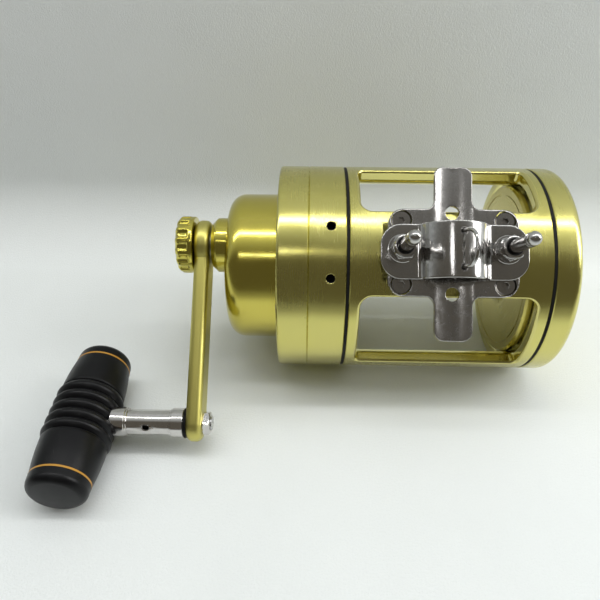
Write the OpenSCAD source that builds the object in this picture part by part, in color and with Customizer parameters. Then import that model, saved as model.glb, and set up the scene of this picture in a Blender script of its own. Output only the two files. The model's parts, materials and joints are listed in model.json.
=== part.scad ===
/* [Body] */
// Outer radius of the round body
body_r = 57.5; // [54:0.5:62]
// Wall thickness of the frame rings and pillars
wall = 8.7; // [8:0.1:9.5]
// Length of the one-piece frame along the spool axis
frame_len = 99.2; // [90:0.2:120]
// Width of the frame ring on the gear side
ring_left = 5.7; // [5.5:0.1:8]
// Width of the frame ring on the plain side
ring_right = 6; // [5.5:0.1:8]
// Width of each rubber seal between body parts
seal_w = 1.6; // [1.2:0.1:2]
// Width of the side plate next to the frame
side_plate_w = 18.9; // [18.5:0.1:22]
// Width of the gearbox ring outside the side plate
gear_ring_w = 16.1; // [15:0.1:20]
// Width of the end plate on the plain side
end_plate_w = 13.4; // [13:0.1:18]
// Half angle that the foot strip of the frame covers
strip_half_angle = 22.8; // [21:0.1:25]
// Angle from the foot to the near side of the front pillar
front_pillar_angle = 57.5; // [54:0.5:62]
// Angle from the foot to the near side of the rear pillar
rear_pillar_angle = 70.5; // [66:0.5:74]
// Angle that each pillar covers
pillar_width_angle = 22.5; // [18:0.5:26]

/* [Gearbox] */
// Radius of the raised gear cup
cup_r = 41.5; // [41:0.1:43]
// Height of the gear cup above the gearbox ring
cup_len = 28.7; // [26:0.1:34]
// Radius of the rounded shoulder of the gear cup
cup_shoulder = 9; // [6:0.5:9.5]
// Radius of the collar round the drive shaft
collar_r = 15; // [14.5:0.1:15.5]
// Length of the collar outside the gear cup
collar_len = 7.7; // [7:0.1:10]
// Gear module
gear_module = 1; // [1:1]
// Teeth on the main gear
main_teeth = 32; // [32:1:32]
// Teeth on the pinion
pinion_teeth = 12; // [12:1:12]
// Direction of the drive shaft from the spool axis, measured from the foot
drive_angle = 23; // [15:1:30]

/* [Spool] */
// Clearance between the spool flanges and the bore of the frame
spool_gap = 0.8; // [0.5:0.1:3]
// Radius of the spool arbor
arbor_r = 14.5; // [13:0.5:20]
// Radius of the spool shaft
shaft_r = 4; // [4:0.1:4.2]

/* [Foot and clamp] */
// Angle by which the foot faces up from the horizontal as the reel lies
foot_tilt = 45; // [40:1:50]
// Length of the foot plate along the spool axis
foot_w = 63.4; // [60:0.2:68]
// Width of the foot plate along the rod
foot_d = 42.8; // [42:0.2:46]
// Length of the foot from tip to tip along the rod
foot_len = 85.6; // [76:0.2:96]
// Width of the foot arms
foot_arm_w = 18.4; // [17:0.2:20]
// Thickness of the foot plate
foot_t = 4; // [3.6:0.1:4.5]
// Distance between the foot screws along the spool axis
screw_span = 50.2; // [48:0.2:52]
// Distance between the foot screws along the rod
screw_pitch = 31.2; // [30:0.2:32]
// Radius of the hole at the root of each foot arm
foot_hole_r = 3.35; // [3:0.05:3.6]
// Width of the clamp strap along the rod
strap_w = 26.8; // [24:0.2:28]
// Length of the clamp strap along the spool axis
strap_len = 71; // [69:0.2:74]
// Thickness of the clamp strap
strap_t = 2.8; // [2.4:0.1:3.2]
// Height of the clamp arch above its ears
arch_rise = 10.9; // [9:0.1:13]
// Height of the clamp studs above the foot plate
stud_h = 37; // [33:0.5:44]

/* [Handle] */
// Distance from the drive shaft to the knob shaft
arm_len = 97; // [90:0.5:110]
// Thickness of the handle arm
arm_t = 8.2; // [6:0.1:9]
// Half width of the handle arm
arm_half_w = 9.5; // [8.5:0.1:10.5]
// Radius of the arm's hub end
arm_hub_r = 13.5; // [12:0.1:14.5]
// Radius of the scalloped drag knob
drag_knob_r = 15.6; // [14:0.1:17]
// Length of the scalloped drag knob
drag_knob_len = 9.6; // [9:0.1:12]
// Length of the bare sleeve between the arm and the grip
sleeve_len = 37.9; // [34:0.1:44]

/* [Grip] */
// Radius over the ribs at the middle of the grip
grip_r = 17.8; // [16.5:0.1:19]
// Radius of the grip at its gold bands
grip_end_r = 15; // [13:0.1:16]
// Distance from the middle of the grip to each gold band
band_pos = 35.2; // [32:0.1:40]
// Length of the whole grip
grip_len = 94; // [90:0.5:100]
// Number of ribs round the middle of the grip
rib_count = 5; // [3:1:5]

/* [Hidden] */
$fn = 72;

// Clearances
running = 0.03;
still_fit = 0.02;
apart = 0.3;
cut = 1;

// Stations along the spool axis; the frame starts at zero
side_x1 = -seal_w;
side_x0 = side_x1 - side_plate_w;
gear_ring_x0 = side_x0 - gear_ring_w;
cup_x0 = gear_ring_x0 - cup_len;
collar_x0 = cup_x0 - collar_len;
arm_gap = 1.2;
arm_x1 = collar_x0 - arm_gap;
arm_x0 = arm_x1 - arm_t;
end_x0 = frame_len + seal_w;
end_x1 = end_x0 + end_plate_w;
foot_x = frame_len / 2;

// Body walls
inner_r = body_r - wall;
flange_r = inner_r - spool_gap;
bolt_circle_r = body_r - wall / 2;
bolt_count = 6;
bolt_r = 2;
bolt_head_r = 3.6;
bolt_head_t = 1.8;
bolt_depth = 4.6;
seal_r0 = body_r - 2.2;
seal_r1 = body_r - 0.4;
edge_round = 1.5;
spanner_hole_r = 2.25;
spanner_hole_depth = 6;
spanner_angle = 13.2;
spanner_hole_pos = 7.8;

// Side plate and gearbox ring
web_t = 5.8;
web_x0 = -web_t;
gear_bay_r = inner_r + 0.2;
ring_step_r = gear_bay_r - 2;
ring_web_t = 4.8;
bridge_t = 2.5;
bridge_x0 = side_x0 - bridge_t;
bridge_boss_r = 8.6;
lightening_pos = 27;
lightening_r = 9;
bridge_socket_r = 1.2;
bridge_boss_t = 5;
bridge_screw_r = 1.5;
bridge_screw_head_r = 2.5;
bridge_screw_head_t = 1.6;
bridge_screw_depth = 7;
bridge_lug_r = 5;
bridge_lug_pos = gear_bay_r - 4.7;

// Gear cup
cup_wall = 3;
cup_flange_t = 3.5;
cup_flange_r = ring_step_r - still_fit;
cup_screw_pos = (cup_r + cup_flange_r) / 2;
cup_screw_r = 1.25;
cup_screw_margin = 0.54;
cup_screw_head_r = (cup_flange_r - cup_r) / 2 - cup_screw_margin;
cup_screw_head_t = 1.8;
cup_screw_depth = 3.5;
cup_flange_x0 = gear_ring_x0 + ring_web_t;

// Gears
gear_distance = gear_module * (main_teeth + pinion_teeth) / 2;
drive_v = gear_distance * sin(drive_angle);
drive_u = gear_distance * cos(drive_angle);
pressure_angle = 25;
backlash = 0.24;
main_gear_x0 = web_x0 - 13;
main_gear_t = 8;
main_gear_x1 = main_gear_x0 + main_gear_t;
recess_r = 13;
recess_t = 4.5;
pinion_x0 = main_gear_x0 - 0.5;
pinion_t = 9;

// Spool
spool_flange_t = 3.5;
spool_x0 = 1.8;
spool_x1 = frame_len - ring_right - 2.5 + spool_flange_t;
groove_r = 43;
groove_w = 0.6;
spool_lip = 0.5;
groove_depth = 0.5;
arbor_flare = 6;
hub_r = 9;

// Bearings: bore radius, outer radius and width
spool_brg_r = 9.5;
spool_brg_w = 6;
spool_brg_x0 = -spool_brg_w;
end_brg_x0 = frame_len + 1.2;
pinion_brg_bore = 3;
pinion_brg_r = 6.5;
pinion_brg_w = 5;
stub_r = 4;
drive_brg_r = 8;
drive_brg_w = 4;
outer_brg_r = 12;
outer_brg_w = 5;
clutch_r = 10.5;
clutch_w = 16;

// Drive shaft and drag stack
drive_r = 6;
flat_half = 4.2;
thread_r = 5;
sleeve_r = 7.5;
washer_t = 1;
plate_t = 1.1;
stop_flange_r = 11;
stop_flange_t = 1.6;
stack_x1 = main_gear_x0 + recess_t;
spring_x1 = stack_x1 - 2 * washer_t - 2 * plate_t;
spring_pair_t = 2.4;
spring_x0 = spring_x1 - spring_pair_t;
sleeve_flange_t = 1.8;
sleeve_flange_r = 11;
drive_x1 = web_x0 + drive_brg_w;
drive_x0 = arm_x0 - drag_knob_len + 1.5;
spring_leaf_t = 0.6;
recess_gap = 0.2;
collar_seat_t = 2.5;
collar_neck_r = 11.9;
outer_brg_x0 = collar_x0 + 1.2;
clutch_x0 = outer_brg_x0 + outer_brg_w;
collar_x1 = clutch_x0 + clutch_w + 1.2;

// End plate
end_edge_r = 4.5;
end_bay_r = inner_r;
end_web_t = 6;
end_boss_r = 13.5;
cap_r = 15;
cap_t = 2;
click_x0 = spool_x1;
click_gear_t = 1.5;
click_gear_r = 20;
click_teeth = 24;
click_tooth_h = 1.8;
click_travel = 5;
click_pos = 29;
click_angle = 200;
button_r = 5;
button_t = 3.6;
button_stem_w = 4;
leaf_t = 0.6;
spring_w = 4;
spring_tail = 5;
tongue_tip = click_pos - click_gear_r - click_travel - 0.4;
tongue_x0 = click_x0 + 0.5;
tongue_t = 1.6;
rivet_r = 1.3;

gear_bolt_len = gear_ring_w + side_plate_w + seal_w + bolt_depth;
gear_bolt_start = 30;
end_bolt_sink = 2.4;
end_bolt_x = end_x1 - end_bolt_sink;
end_bolt_len = end_plate_w + seal_w + bolt_depth - end_bolt_sink;
end_bolt_circle_r = bolt_circle_r - 0.75;
window_corner = 6;
pillar_corner = 3;

// Foot and clamp
seat_u = body_r - 2;
foot_top = seat_u + foot_t;
seat_margin = 0.6;
foot_corner = 8;
arm_flare_w = 26.2;
arm_flare_len = 4.5;
arm_tip_round = 5;
trough_r = 19;
trough_u = foot_top - (trough_r - sqrt(trough_r * trough_r - foot_arm_w * foot_arm_w / 4));
arm_under = 3;
arm_clear = 0.45 * body_r;
foot_hole_pos = foot_d / 2 - 1.4;
foot_screw_r = 2.5;
foot_head_r = 5.1;
foot_head_t = 2.6;
foot_screw_len = 10;
socket_r = 1.75;
strap_u0 = foot_top;
strap_u1 = strap_u0 + strap_t;
arch_half = 16.3;
arch_r = (arch_half * arch_half + arch_rise * arch_rise) / (2 * arch_rise);
arch_centre_u = strap_u1 + arch_rise - arch_r;
ear_r = 10.2;
stud_r = 3.5;
stud_shank_r = 3.2;
stud_v = 1.3;
stud_ball_r = 3.1;
stud_root = 5;
clamp_travel = 6;
nut_r = 6.35;
nut_h = 6.2;
nut_collar_r = 5.2;
nut_collar_h = 3.2;
insert_h = 1;
insert_w = 0.9;
stud_neck_r = 2.8;
stud_top = foot_top + stud_h;
thread_top = strap_u1 + nut_h + nut_collar_h + clamp_travel;
loop_wire = 0.95;
loop_half = 8.4;
loop_rise = 9;
loop_bend = 6.4;
loop_lean = 22;
loop_x = foot_x + 1.6;

// Handle and grip
row_drive_z = body_r + drive_v * sin(foot_tilt) + drive_u * cos(foot_tilt);
arm_slope = asin((row_drive_z - grip_r) / arm_len);
arm_angle = 180 + arm_slope - foot_tilt;
knob_v = drive_v + arm_len * cos(arm_angle);
knob_u = drive_u + arm_len * sin(arm_angle);
flute_count = 14;
flute_r = 2.1;
flute_pos = drag_knob_r + 0.9;
rim_t = 2.2;
washer_w = 1.4;
washer_r = 8;
sleeve_x1 = arm_x0 - washer_w - apart;
sleeve_x0 = sleeve_x1 - sleeve_len;
sleeve_mid_r = 6.6;
sleeve_end_r = 7.6;
sleeve_end_len = 7.1;
sleeve_far_len = 8.3;
spindle_r = 3.5;
bush_r = 4.8;
bush_len = 8;
grease_hole_r = 1.9;
grease_hole_angle = 64 - foot_tilt;
grease_hole_shift = 0.8;
grip_x = sleeve_x0 - grip_r + 1.9;
spindle_head_r = 6;
spindle_head_t = 3;
grip_bore_r = 7.2;
spindle_nut_r = 6.35;
spindle_nut_t = 3.8;
rib_pitch = 6;
rib_depth = 1;
rib_half = rib_count * rib_pitch / 2;
grip_plain_r = 16.7;
band_w = 1;
cap_edge = 4;

// Placing of the reel as it lies on its rims and its grip
row_x0 = grip_x - grip_r;
row_x1 = end_x1 + button_t;
knob_row_y = (knob_v - knob_u * tan(foot_tilt)) * cos(foot_tilt);
row_y0 = knob_row_y - grip_len / 2;
row_y1 = body_r;
shift_x = -(row_x0 + row_x1) / 2;
shift_y = -(row_y0 + row_y1) / 2;

// Reel axes: X along the spool, Y towards the rod tip, Z out of the foot
module lying() {
    translate([shift_x, shift_y, body_r]) rotate([foot_tilt, 0, 0]) children();
}

// Draws a shape with its own z axis along the spool axis
module axial(x) {
    translate([x, 0, 0]) rotate([90, 0, 90]) children();
}

module disc(x0, x1, r) {
    axial(x0) cylinder(h = x1 - x0, r = r);
}

module pipe(x0, x1, r_out, r_in) {
    axial(x0) difference() {
        cylinder(h = x1 - x0, r = r_out);
        translate([0, 0, -cut]) cylinder(h = x1 - x0 + 2 * cut, r = r_in);
    }
}

// Solid of revolution about the spool axis from [radius, station] points
module turned(outline) {
    axial(0) rotate_extrude() polygon(outline);
}

module at_drive() {
    translate([0, drive_v, drive_u]) children();
}

module at_knob() {
    translate([0, knob_v, knob_u]) children();
}

// Copies round the spool axis at radius r
module around(count, r, start) {
    for (i = [0:count - 1]) rotate([start + 360 * i / count, 0, 0]) translate([0, 0, r]) children();
}

// Points of an arc in the plane of the outline
function arc(centre, r, from, to, steps) =
    [for (i = [0:steps]) let (a = from + (to - from) * i / steps) centre + r * [cos(a), sin(a)]];

// Rectangle from p to q with its own corner radius on the low-y and high-y sides
function rounded_box(p, q, low, high) = concat(
    arc([p[0] + low, p[1] + low], low, 180, 270, 6),
    arc([q[0] - low, p[1] + low], low, 270, 360, 6),
    arc([q[0] - high, q[1] - high], high, 0, 90, 6),
    arc([p[0] + high, q[1] - high], high, 90, 180, 6));

// Involute gear outline
function involute(a) = tan(a) - a * PI / 180;
function tooth_half_angle(teeth, r) = let (pitch_r = gear_module * teeth / 2,
    base_r = pitch_r * cos(pressure_angle),
    thick = PI * gear_module / 2 - backlash / 2,
    unwound = r > base_r ? involute(acos(base_r / r)) : 0)
    (thick / (2 * pitch_r) + involute(pressure_angle) - unwound) * 180 / PI;
function flank_radii(teeth) = let (pitch_r = gear_module * teeth / 2,
    base_r = pitch_r * cos(pressure_angle),
    root_r = pitch_r - 1.25 * gear_module,
    tip_r = pitch_r + gear_module)
    [root_r, max(root_r + 0.01, base_r), pitch_r - 0.2 * gear_module, pitch_r + 0.45 * gear_module, tip_r];
function gear_outline(teeth, start) = let (radii = flank_radii(teeth))
    [for (i = [0:teeth - 1]) for (side = [-1, 1]) for (k = [0:len(radii) - 1])
        let (r = radii[side < 0 ? k : len(radii) - 1 - k],
            a = start + 360 * i / teeth + side * tooth_half_angle(teeth, r))
        r * [cos(a), sin(a)]];

// Six screws that run from a body part into the frame, heads at x_head
module frame_bolt(x_head, length, direction) {
    translate([x_head, 0, 0]) rotate([0, direction * 90, 0]) {
        cylinder(h = length, r = bolt_r);
        cylinder(h = bolt_head_t, r1 = bolt_head_r, r2 = bolt_r);
    }
}

module bolt_hole(length, sink) {
    translate([0, 0, -cut]) cylinder(h = length + cut, r = bolt_r + still_fit);
    translate([0, 0, -sink - cut]) cylinder(h = sink + cut + 0.001, r = bolt_head_r + still_fit);
    cylinder(h = bolt_head_t, r1 = bolt_head_r + still_fit, r2 = bolt_r + still_fit);
}

module gear_bolt_holes() around(bolt_count, bolt_circle_r, gear_bolt_start)
    translate([gear_ring_x0, 0, 0]) rotate([0, 90, 0]) bolt_hole(gear_bolt_len, 0);

// Counterbored, because the end plate's edge is rounded there
module end_bolt_holes() around(bolt_count, end_bolt_circle_r, 0)
    translate([end_bolt_x, 0, 0]) rotate([0, -90, 0]) bolt_hole(end_bolt_len, end_bolt_sink);

// Cuts a window in the frame between two angles from the foot
module window(from, to, low, high) {
    middle = (from + to) / 2;
    half = body_r * sin(abs(to - from) / 2);
    rotate([-middle, 0, 0]) linear_extrude(height = body_r + 10)
        polygon(rounded_box([ring_left, -half], [frame_len - ring_right, half], low, high));
}

module far_opening() {
    from = front_pillar_angle + pillar_width_angle;
    to = 360 - rear_pillar_angle - pillar_width_angle;
    reach = body_r + 30;
    axial(ring_left) linear_extrude(height = frame_len - ring_left - ring_right)
        polygon(concat([[0, 0]], [for (i = [0:4]) let (a = from + (to - from) * i / 4)
            reach * [sin(a), cos(a)]]));
}

module frame() color("darkkhaki") lying() difference() {
    pipe(0, frame_len, body_r, inner_r);
    window(strip_half_angle, front_pillar_angle, window_corner, pillar_corner);
    window(-rear_pillar_angle, -strip_half_angle, pillar_corner, window_corner);
    far_opening();
    gear_bolt_holes();
    end_bolt_holes();
    translate([foot_x - foot_w / 2 - seat_margin, -body_r, seat_u])
        cube([foot_w + 2 * seat_margin, 2 * body_r, body_r]);
    foot_screw_places() translate([0, 0, -foot_screw_len - 0.5])
        cylinder(h = foot_screw_len, r = foot_screw_r + still_fit);
    stud_places() translate([0, 0, seat_u - stud_root]) cylinder(h = stud_root + cut, r = stud_r + still_fit);
}

module seal(x0) {
    bevel = 0.3;
    turned([[seal_r0, x0], [seal_r1 - bevel, x0], [seal_r1, x0 + bevel], [seal_r1, x0 + seal_w - bevel],
        [seal_r1 - bevel, x0 + seal_w], [seal_r0, x0 + seal_w]]);
}

module seal_left() color("black") lying() seal(side_x1);

module seal_right() color("black") lying() seal(frame_len);

module side_plate() color("darkkhaki") lying() difference() {
    union() {
        turned([[0, web_x0], [gear_bay_r, web_x0], [gear_bay_r, side_x0], [body_r - 0.5, side_x0],
            [body_r, side_x0 + 0.5], [body_r, side_x1 - 0.5], [body_r - 0.5, side_x1],
            [seal_r0 - still_fit, side_x1], [seal_r0 - still_fit, 0], [0, 0]]);
        bridge_screw_places() disc(side_x0, web_x0 + 1, bridge_lug_r);
    }
    disc(spool_brg_x0 + 0.6, cut, spool_brg_r + still_fit);
    disc(web_x0 - cut, cut, hub_r - 2);
    at_drive() disc(web_x0 - cut, web_x0 + drive_brg_w, drive_brg_r + still_fit);
    gear_bolt_holes();
    bridge_screw_places() disc(side_x0 - cut, side_x0 + bridge_screw_depth, bridge_screw_r + still_fit);
    for (side = [-1, 1]) rotate([side * spanner_angle, 0, 0])
        translate([side_x1 - spanner_hole_pos, 0, body_r - spanner_hole_depth])
            cylinder(h = spanner_hole_depth + cut, r = spanner_hole_r);
}

module gearbox_ring() color("darkkhaki") lying() difference() {
    turned(concat(
        [[cup_r + still_fit, gear_ring_x0]],
        arc([body_r - edge_round, gear_ring_x0 + edge_round], edge_round, -90, 0, 4),
        [[body_r, side_x0 - 0.5], [body_r - 0.5, side_x0], [gear_bay_r, side_x0], [gear_bay_r, bridge_x0],
        [ring_step_r, bridge_x0], [ring_step_r, cup_flange_x0], [cup_r + still_fit, cup_flange_x0]]));
    gear_bolt_holes();
    cup_screw_places() disc(cup_flange_x0 - cup_screw_depth, cup_flange_x0 + cut, cup_screw_r + still_fit);
}

module cup_screw_places() {
    around(6, cup_screw_pos, 0) children();
}

module gear_cup() color("goldenrod") lying() difference() {
    turned(concat(
        [[0, cup_x0]],
        arc([cup_r - cup_shoulder, cup_x0 + cup_shoulder], cup_shoulder, -90, 0, 8),
        [[cup_r, cup_flange_x0], [cup_flange_r, cup_flange_x0], [cup_flange_r, cup_flange_x0 + cup_flange_t],
        [cup_r - cup_wall, cup_flange_x0 + cup_flange_t]],
        arc([cup_r - cup_shoulder, cup_x0 + cup_shoulder + 2], cup_shoulder - cup_wall, 0, -90, 6),
        [[0, cup_x0 + cup_shoulder + 2 - (cup_shoulder - cup_wall)]]));
    at_drive() disc(cup_x0 - cut, cup_x0 + collar_seat_t, collar_r + still_fit);
    at_drive() disc(cup_x0, cup_x0 + cup_len, collar_neck_r + still_fit);
    cup_screw_places() disc(cup_flange_x0 - cut, cup_flange_x0 + cup_flange_t + cut, cup_screw_r + still_fit);
}

module cup_screws() color("silver") lying() cup_screw_places() {
    disc(cup_flange_x0 - cup_screw_depth, cup_flange_x0 + cup_flange_t, cup_screw_r);
    difference() {
        disc(cup_flange_x0 + cup_flange_t, cup_flange_x0 + cup_flange_t + cup_screw_head_t, cup_screw_head_r);
        axial(cup_flange_x0 + cup_flange_t + 0.8) cylinder(h = cut + 1, r = 1, $fn = 6);
    }
}

module hex_head_bolt(x_head, length, direction) {
    difference() {
        frame_bolt(x_head, length, direction);
        translate([x_head, 0, 0]) rotate([0, direction * 90, 0]) translate([0, 0, -cut])
            cylinder(h = cut + 1.4, r = 1.45, $fn = 6);
    }
}

module gear_side_screws() color("silver") lying()
    around(bolt_count, bolt_circle_r, gear_bolt_start) hex_head_bolt(gear_ring_x0, gear_bolt_len - 0.3, 1);

module end_plate_screws() color("silver") lying()
    around(bolt_count, end_bolt_circle_r, 0) hex_head_bolt(end_bolt_x, end_bolt_len - 0.3, -1);

// Housing of the outer bearing and the one-way clutch
module drive_collar() color("gold") lying() at_drive() turned([
    [outer_brg_r - 1.5, collar_x0], [collar_r - 2.6, collar_x0], [collar_r, collar_x0 + 2.6],
    [collar_r, cup_x0 + collar_seat_t], [collar_neck_r, cup_x0 + collar_seat_t], [collar_neck_r, collar_x1],
    [clutch_r - 1.5, collar_x1], [clutch_r - 1.5, collar_x1 - 1.2],
    [clutch_r + still_fit, collar_x1 - 1.2], [clutch_r + still_fit, clutch_x0],
    [outer_brg_r + still_fit, clutch_x0], [outer_brg_r + still_fit, outer_brg_x0],
    [outer_brg_r - 1.5, outer_brg_x0]]);

// Sealed ball bearing with a shallow shield groove in each face
module bearing(x0, width, bore, outer) {
    groove = 0.35;
    mid = (bore + outer) / 2;
    band = (outer - bore) / 4;
    turned([[bore, x0], [mid - band, x0], [mid - band, x0 + groove], [mid + band, x0 + groove],
        [mid + band, x0], [outer, x0], [outer, x0 + width], [mid + band, x0 + width],
        [mid + band, x0 + width - groove],
        [mid - band, x0 + width - groove], [mid - band, x0 + width], [bore, x0 + width]]);
}

module spool_bearing_left() color("silver") lying()
    bearing(spool_brg_x0 + 0.6, spool_brg_w - 0.6, shaft_r + running, spool_brg_r);

module spool_bearing_right() color("silver") lying()
    bearing(end_brg_x0, spool_brg_w, shaft_r + running, spool_brg_r);

module pinion_bearing() color("silver") lying()
    bearing(side_x0 - bridge_boss_t, pinion_brg_w, pinion_brg_bore + running, pinion_brg_r);

module drive_bearing_inner() color("silver") lying() at_drive()
    bearing(web_x0, drive_brg_w, stub_r + running, drive_brg_r);

module drive_bearing_outer() color("silver") lying() at_drive()
    bearing(outer_brg_x0, outer_brg_w, sleeve_r + running, outer_brg_r);

module one_way_clutch() color("lightgray") lying() at_drive() difference() {
    pipe(clutch_x0, clutch_x0 + clutch_w, clutch_r, sleeve_r + running);
    for (i = [0:7]) rotate([45 * i, 0, 0]) translate([clutch_x0 + 3, 0, sleeve_r + 1.5])
        rotate([0, 90, 0]) cylinder(h = clutch_w - 6, r = 0.9);
}

module bridge_screw_places() {
    around(4, bridge_lug_pos, 22) children();
}

// Carries the outboard end of the spool shaft
module bridge_plate() color("darkgray") lying() difference() {
    union() {
        disc(bridge_x0, side_x0, gear_bay_r - still_fit);
        disc(side_x0 - bridge_boss_t, side_x0, bridge_boss_r);
    }
    disc(side_x0 - bridge_boss_t - cut, side_x0 + cut, pinion_brg_r + still_fit);
    at_drive() disc(bridge_x0 - cut, side_x0 + cut, sleeve_flange_r + 1);
    for (a = [110, 180, 250]) rotate([-a, 0, 0]) translate([0, 0, lightening_pos])
        disc(bridge_x0 - cut, side_x0 + cut, lightening_r);
    bridge_screw_places() disc(bridge_x0 - cut, side_x0 + cut, bridge_screw_r + still_fit);
}

module bridge_screws() color("silver") lying() bridge_screw_places() {
    disc(bridge_x0, side_x0 + bridge_screw_depth - apart, bridge_screw_r);
    difference() {
        disc(bridge_x0 - bridge_screw_head_t, bridge_x0, bridge_screw_head_r);
        axial(bridge_x0 - bridge_screw_head_t - cut) cylinder(h = cut + 1, r = bridge_socket_r, $fn = 6);
    }
}

module pinion() color("silver") lying() difference() {
    axial(pinion_x0) linear_extrude(height = pinion_t) polygon(gear_outline(pinion_teeth, 90 - drive_angle));
    disc(pinion_x0 - cut, pinion_x0 + pinion_t + cut, shaft_r + still_fit);
}

module main_gear() color("silver") lying() difference() {
    at_drive() axial(main_gear_x0) linear_extrude(height = main_gear_t)
        polygon(gear_outline(main_teeth, 270 - drive_angle + 180 / main_teeth));
    at_drive() disc(main_gear_x0 - cut, main_gear_x1 + cut, drive_r + still_fit);
    at_drive() disc(main_gear_x0 - cut, stack_x1, recess_r);
}

module drag_discs() color("dimgray") lying() at_drive() {
    for (x1 = [stack_x1, stack_x1 - washer_t - plate_t])
        pipe(x1 - washer_t, x1, recess_r - recess_gap, drive_r + still_fit);
    pipe(main_gear_x1, main_gear_x1 + washer_t, stop_flange_r, drive_r + still_fit);
}

module drag_plates() color("silver") lying() at_drive() {
    for (x0 = [spring_x1, stack_x1 - washer_t - plate_t])
        pipe(x0, x0 + plate_t, recess_r - recess_gap, drive_r + still_fit);
}

// Two dished washers back to back
module spring_washers() color("silver") lying() at_drive() {
    mid = (spring_x0 + spring_x1) / 2;
    for (side = [0, 1]) translate([mid, 0, 0]) mirror([side, 0, 0])
        turned([[drive_r + still_fit, spring_pair_t / 2 - spring_leaf_t], [sleeve_flange_r, 0],
            [sleeve_flange_r, spring_leaf_t], [drive_r + still_fit, spring_pair_t / 2]]);
}

module drag_sleeve() color("silver") lying() at_drive() turned([
    [drive_r + still_fit, arm_x1], [sleeve_r, arm_x1], [sleeve_r, spring_x0 - sleeve_flange_t],
    [sleeve_flange_r, spring_x0 - sleeve_flange_t], [sleeve_flange_r, spring_x0],
    [drive_r + still_fit, spring_x0]]);

module drive_shaft() color("silver") lying() at_drive() difference() {
    turned([[0, drive_x0], [thread_r - 0.6, drive_x0], [thread_r, drive_x0 + 0.6], [thread_r, arm_x0],
        [drive_r, arm_x0], [drive_r, main_gear_x1 + washer_t], [stop_flange_r, main_gear_x1 + washer_t],
        [stop_flange_r, main_gear_x1 + washer_t + stop_flange_t],
        [stub_r, main_gear_x1 + washer_t + stop_flange_t], [stub_r, drive_x1 - 0.2], [0, drive_x1 - 0.2]]);
    for (side = [0, 1]) mirror([0, side, 0]) translate([arm_x0 - cut, flat_half, -drive_r])
        cube([arm_t + cut, drive_r, 2 * drive_r]);
}

module end_plate() color("darkkhaki") lying() difference() {
    union() {
        turned(concat(
            [[0, end_x1 - end_web_t], [end_bay_r, end_x1 - end_web_t], [end_bay_r, frame_len],
            [seal_r0 - still_fit, frame_len], [seal_r0 - still_fit, end_x0], [body_r - 0.5, end_x0],
            [body_r, end_x0 + 0.5]],
            arc([body_r - end_edge_r, end_x1 - end_edge_r], end_edge_r, 0, 90, 8),
            [[0, end_x1]]));
        disc(end_brg_x0 - 0.6, end_x1 - end_web_t, end_boss_r);
    }
    disc(end_brg_x0 - cut, end_brg_x0 + spool_brg_w, spool_brg_r + still_fit);
    disc(end_brg_x0, end_x1 - end_web_t + 2, hub_r - 2);
    end_bolt_holes();
    rotate([-click_angle, 0, 0]) translate([end_x1 - end_web_t - cut, -button_stem_w / 2 - apart,
        click_pos - click_travel - button_stem_w / 2 - apart])
        cube([end_web_t + 2 * cut, button_stem_w + 2 * apart, click_travel + button_stem_w + 2 * apart]);
}

// Screwed cover over the right spool bearing, with a slot for a coin
module bearing_cap() color("gold") lying() difference() {
    turned([[0, end_x1], [cap_r, end_x1], [cap_r, end_x1 + cap_t - 0.6], [cap_r - 0.6, end_x1 + cap_t],
        [0, end_x1 + cap_t]]);
    translate([end_x1 + cap_t - 1, -1.25, -cap_r - cut]) cube([2, 2.5, 2 * cap_r + 2 * cut]);
}

module foot_screw_places() {
    for (x = [-1, 1], y = [-1, 1])
        translate([foot_x + x * screw_span / 2, y * screw_pitch / 2, foot_top]) children();
}

module stud_places() {
    for (x = [-1, 1]) translate([foot_x + x * screw_span / 2, stud_v, 0]) children();
}

// Half outline of the foot, from the spool axis direction to the arm tip
function foot_quarter() = let (hw = foot_w / 2, hd = foot_d / 2, ha = foot_arm_w / 2, hf = arm_flare_w / 2,
    hl = foot_len / 2, f = arm_flare_len)
    concat(arc([hw - foot_corner, hd - foot_corner], foot_corner, 0, 90, 6),
        [[hf, hd]],
        [for (i = [1:5]) [hf + (ha - hf) * sin(18 * i), hd + f * (1 - cos(18 * i))]],
        arc([ha - 0.3 - arm_tip_round, hl - arm_tip_round], arm_tip_round, 0, 90, 6));
function mirror_points(points, sx, sy) = [for (i = [0:len(points) - 1])
    let (p = points[sx * sy > 0 ? i : len(points) - 1 - i]) [p[0] * sx, p[1] * sy]];
function foot_outline() = concat(foot_quarter(), mirror_points(foot_quarter(), -1, 1),
    mirror_points(foot_quarter(), -1, -1), mirror_points(foot_quarter(), 1, -1));

// Round bar along the rod, at the centre line of the trough
module rod_bar(r) {
    translate([foot_x, foot_len, trough_u + trough_r]) rotate([90, 0, 0]) cylinder(h = 2 * foot_len, r = r);
}

module foot() color("silver") lying() difference() {
    union() {
        translate([foot_x, 0, seat_u]) linear_extrude(height = foot_t) polygon(foot_outline());
        intersection() {
            translate([foot_x, 0, seat_u - arm_under]) linear_extrude(height = foot_t + arm_under)
                polygon(foot_outline());
            rod_bar(trough_r + arm_under);
            for (side = [0, 1]) mirror([0, side, 0])
                translate([foot_x - foot_w / 2, arm_clear, 0]) cube([foot_w, foot_len, 2 * body_r]);
        }
    }
    rod_bar(trough_r);
    for (side = [-1, 1]) translate([foot_x, side * foot_hole_pos, seat_u - cut])
        cylinder(h = foot_t + 2 * cut, r = foot_hole_r);
    foot_screw_places() {
        translate([0, 0, -foot_t - cut]) cylinder(h = foot_t + 2 * cut, r = foot_screw_r + still_fit);
        translate([0, 0, -foot_head_t])
            cylinder(h = foot_head_t, r1 = foot_screw_r + still_fit, r2 = foot_head_r + still_fit);
    }
    stud_places() translate([0, 0, seat_u - cut]) cylinder(h = foot_t + 2 * cut, r = stud_r + still_fit);
}

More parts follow.
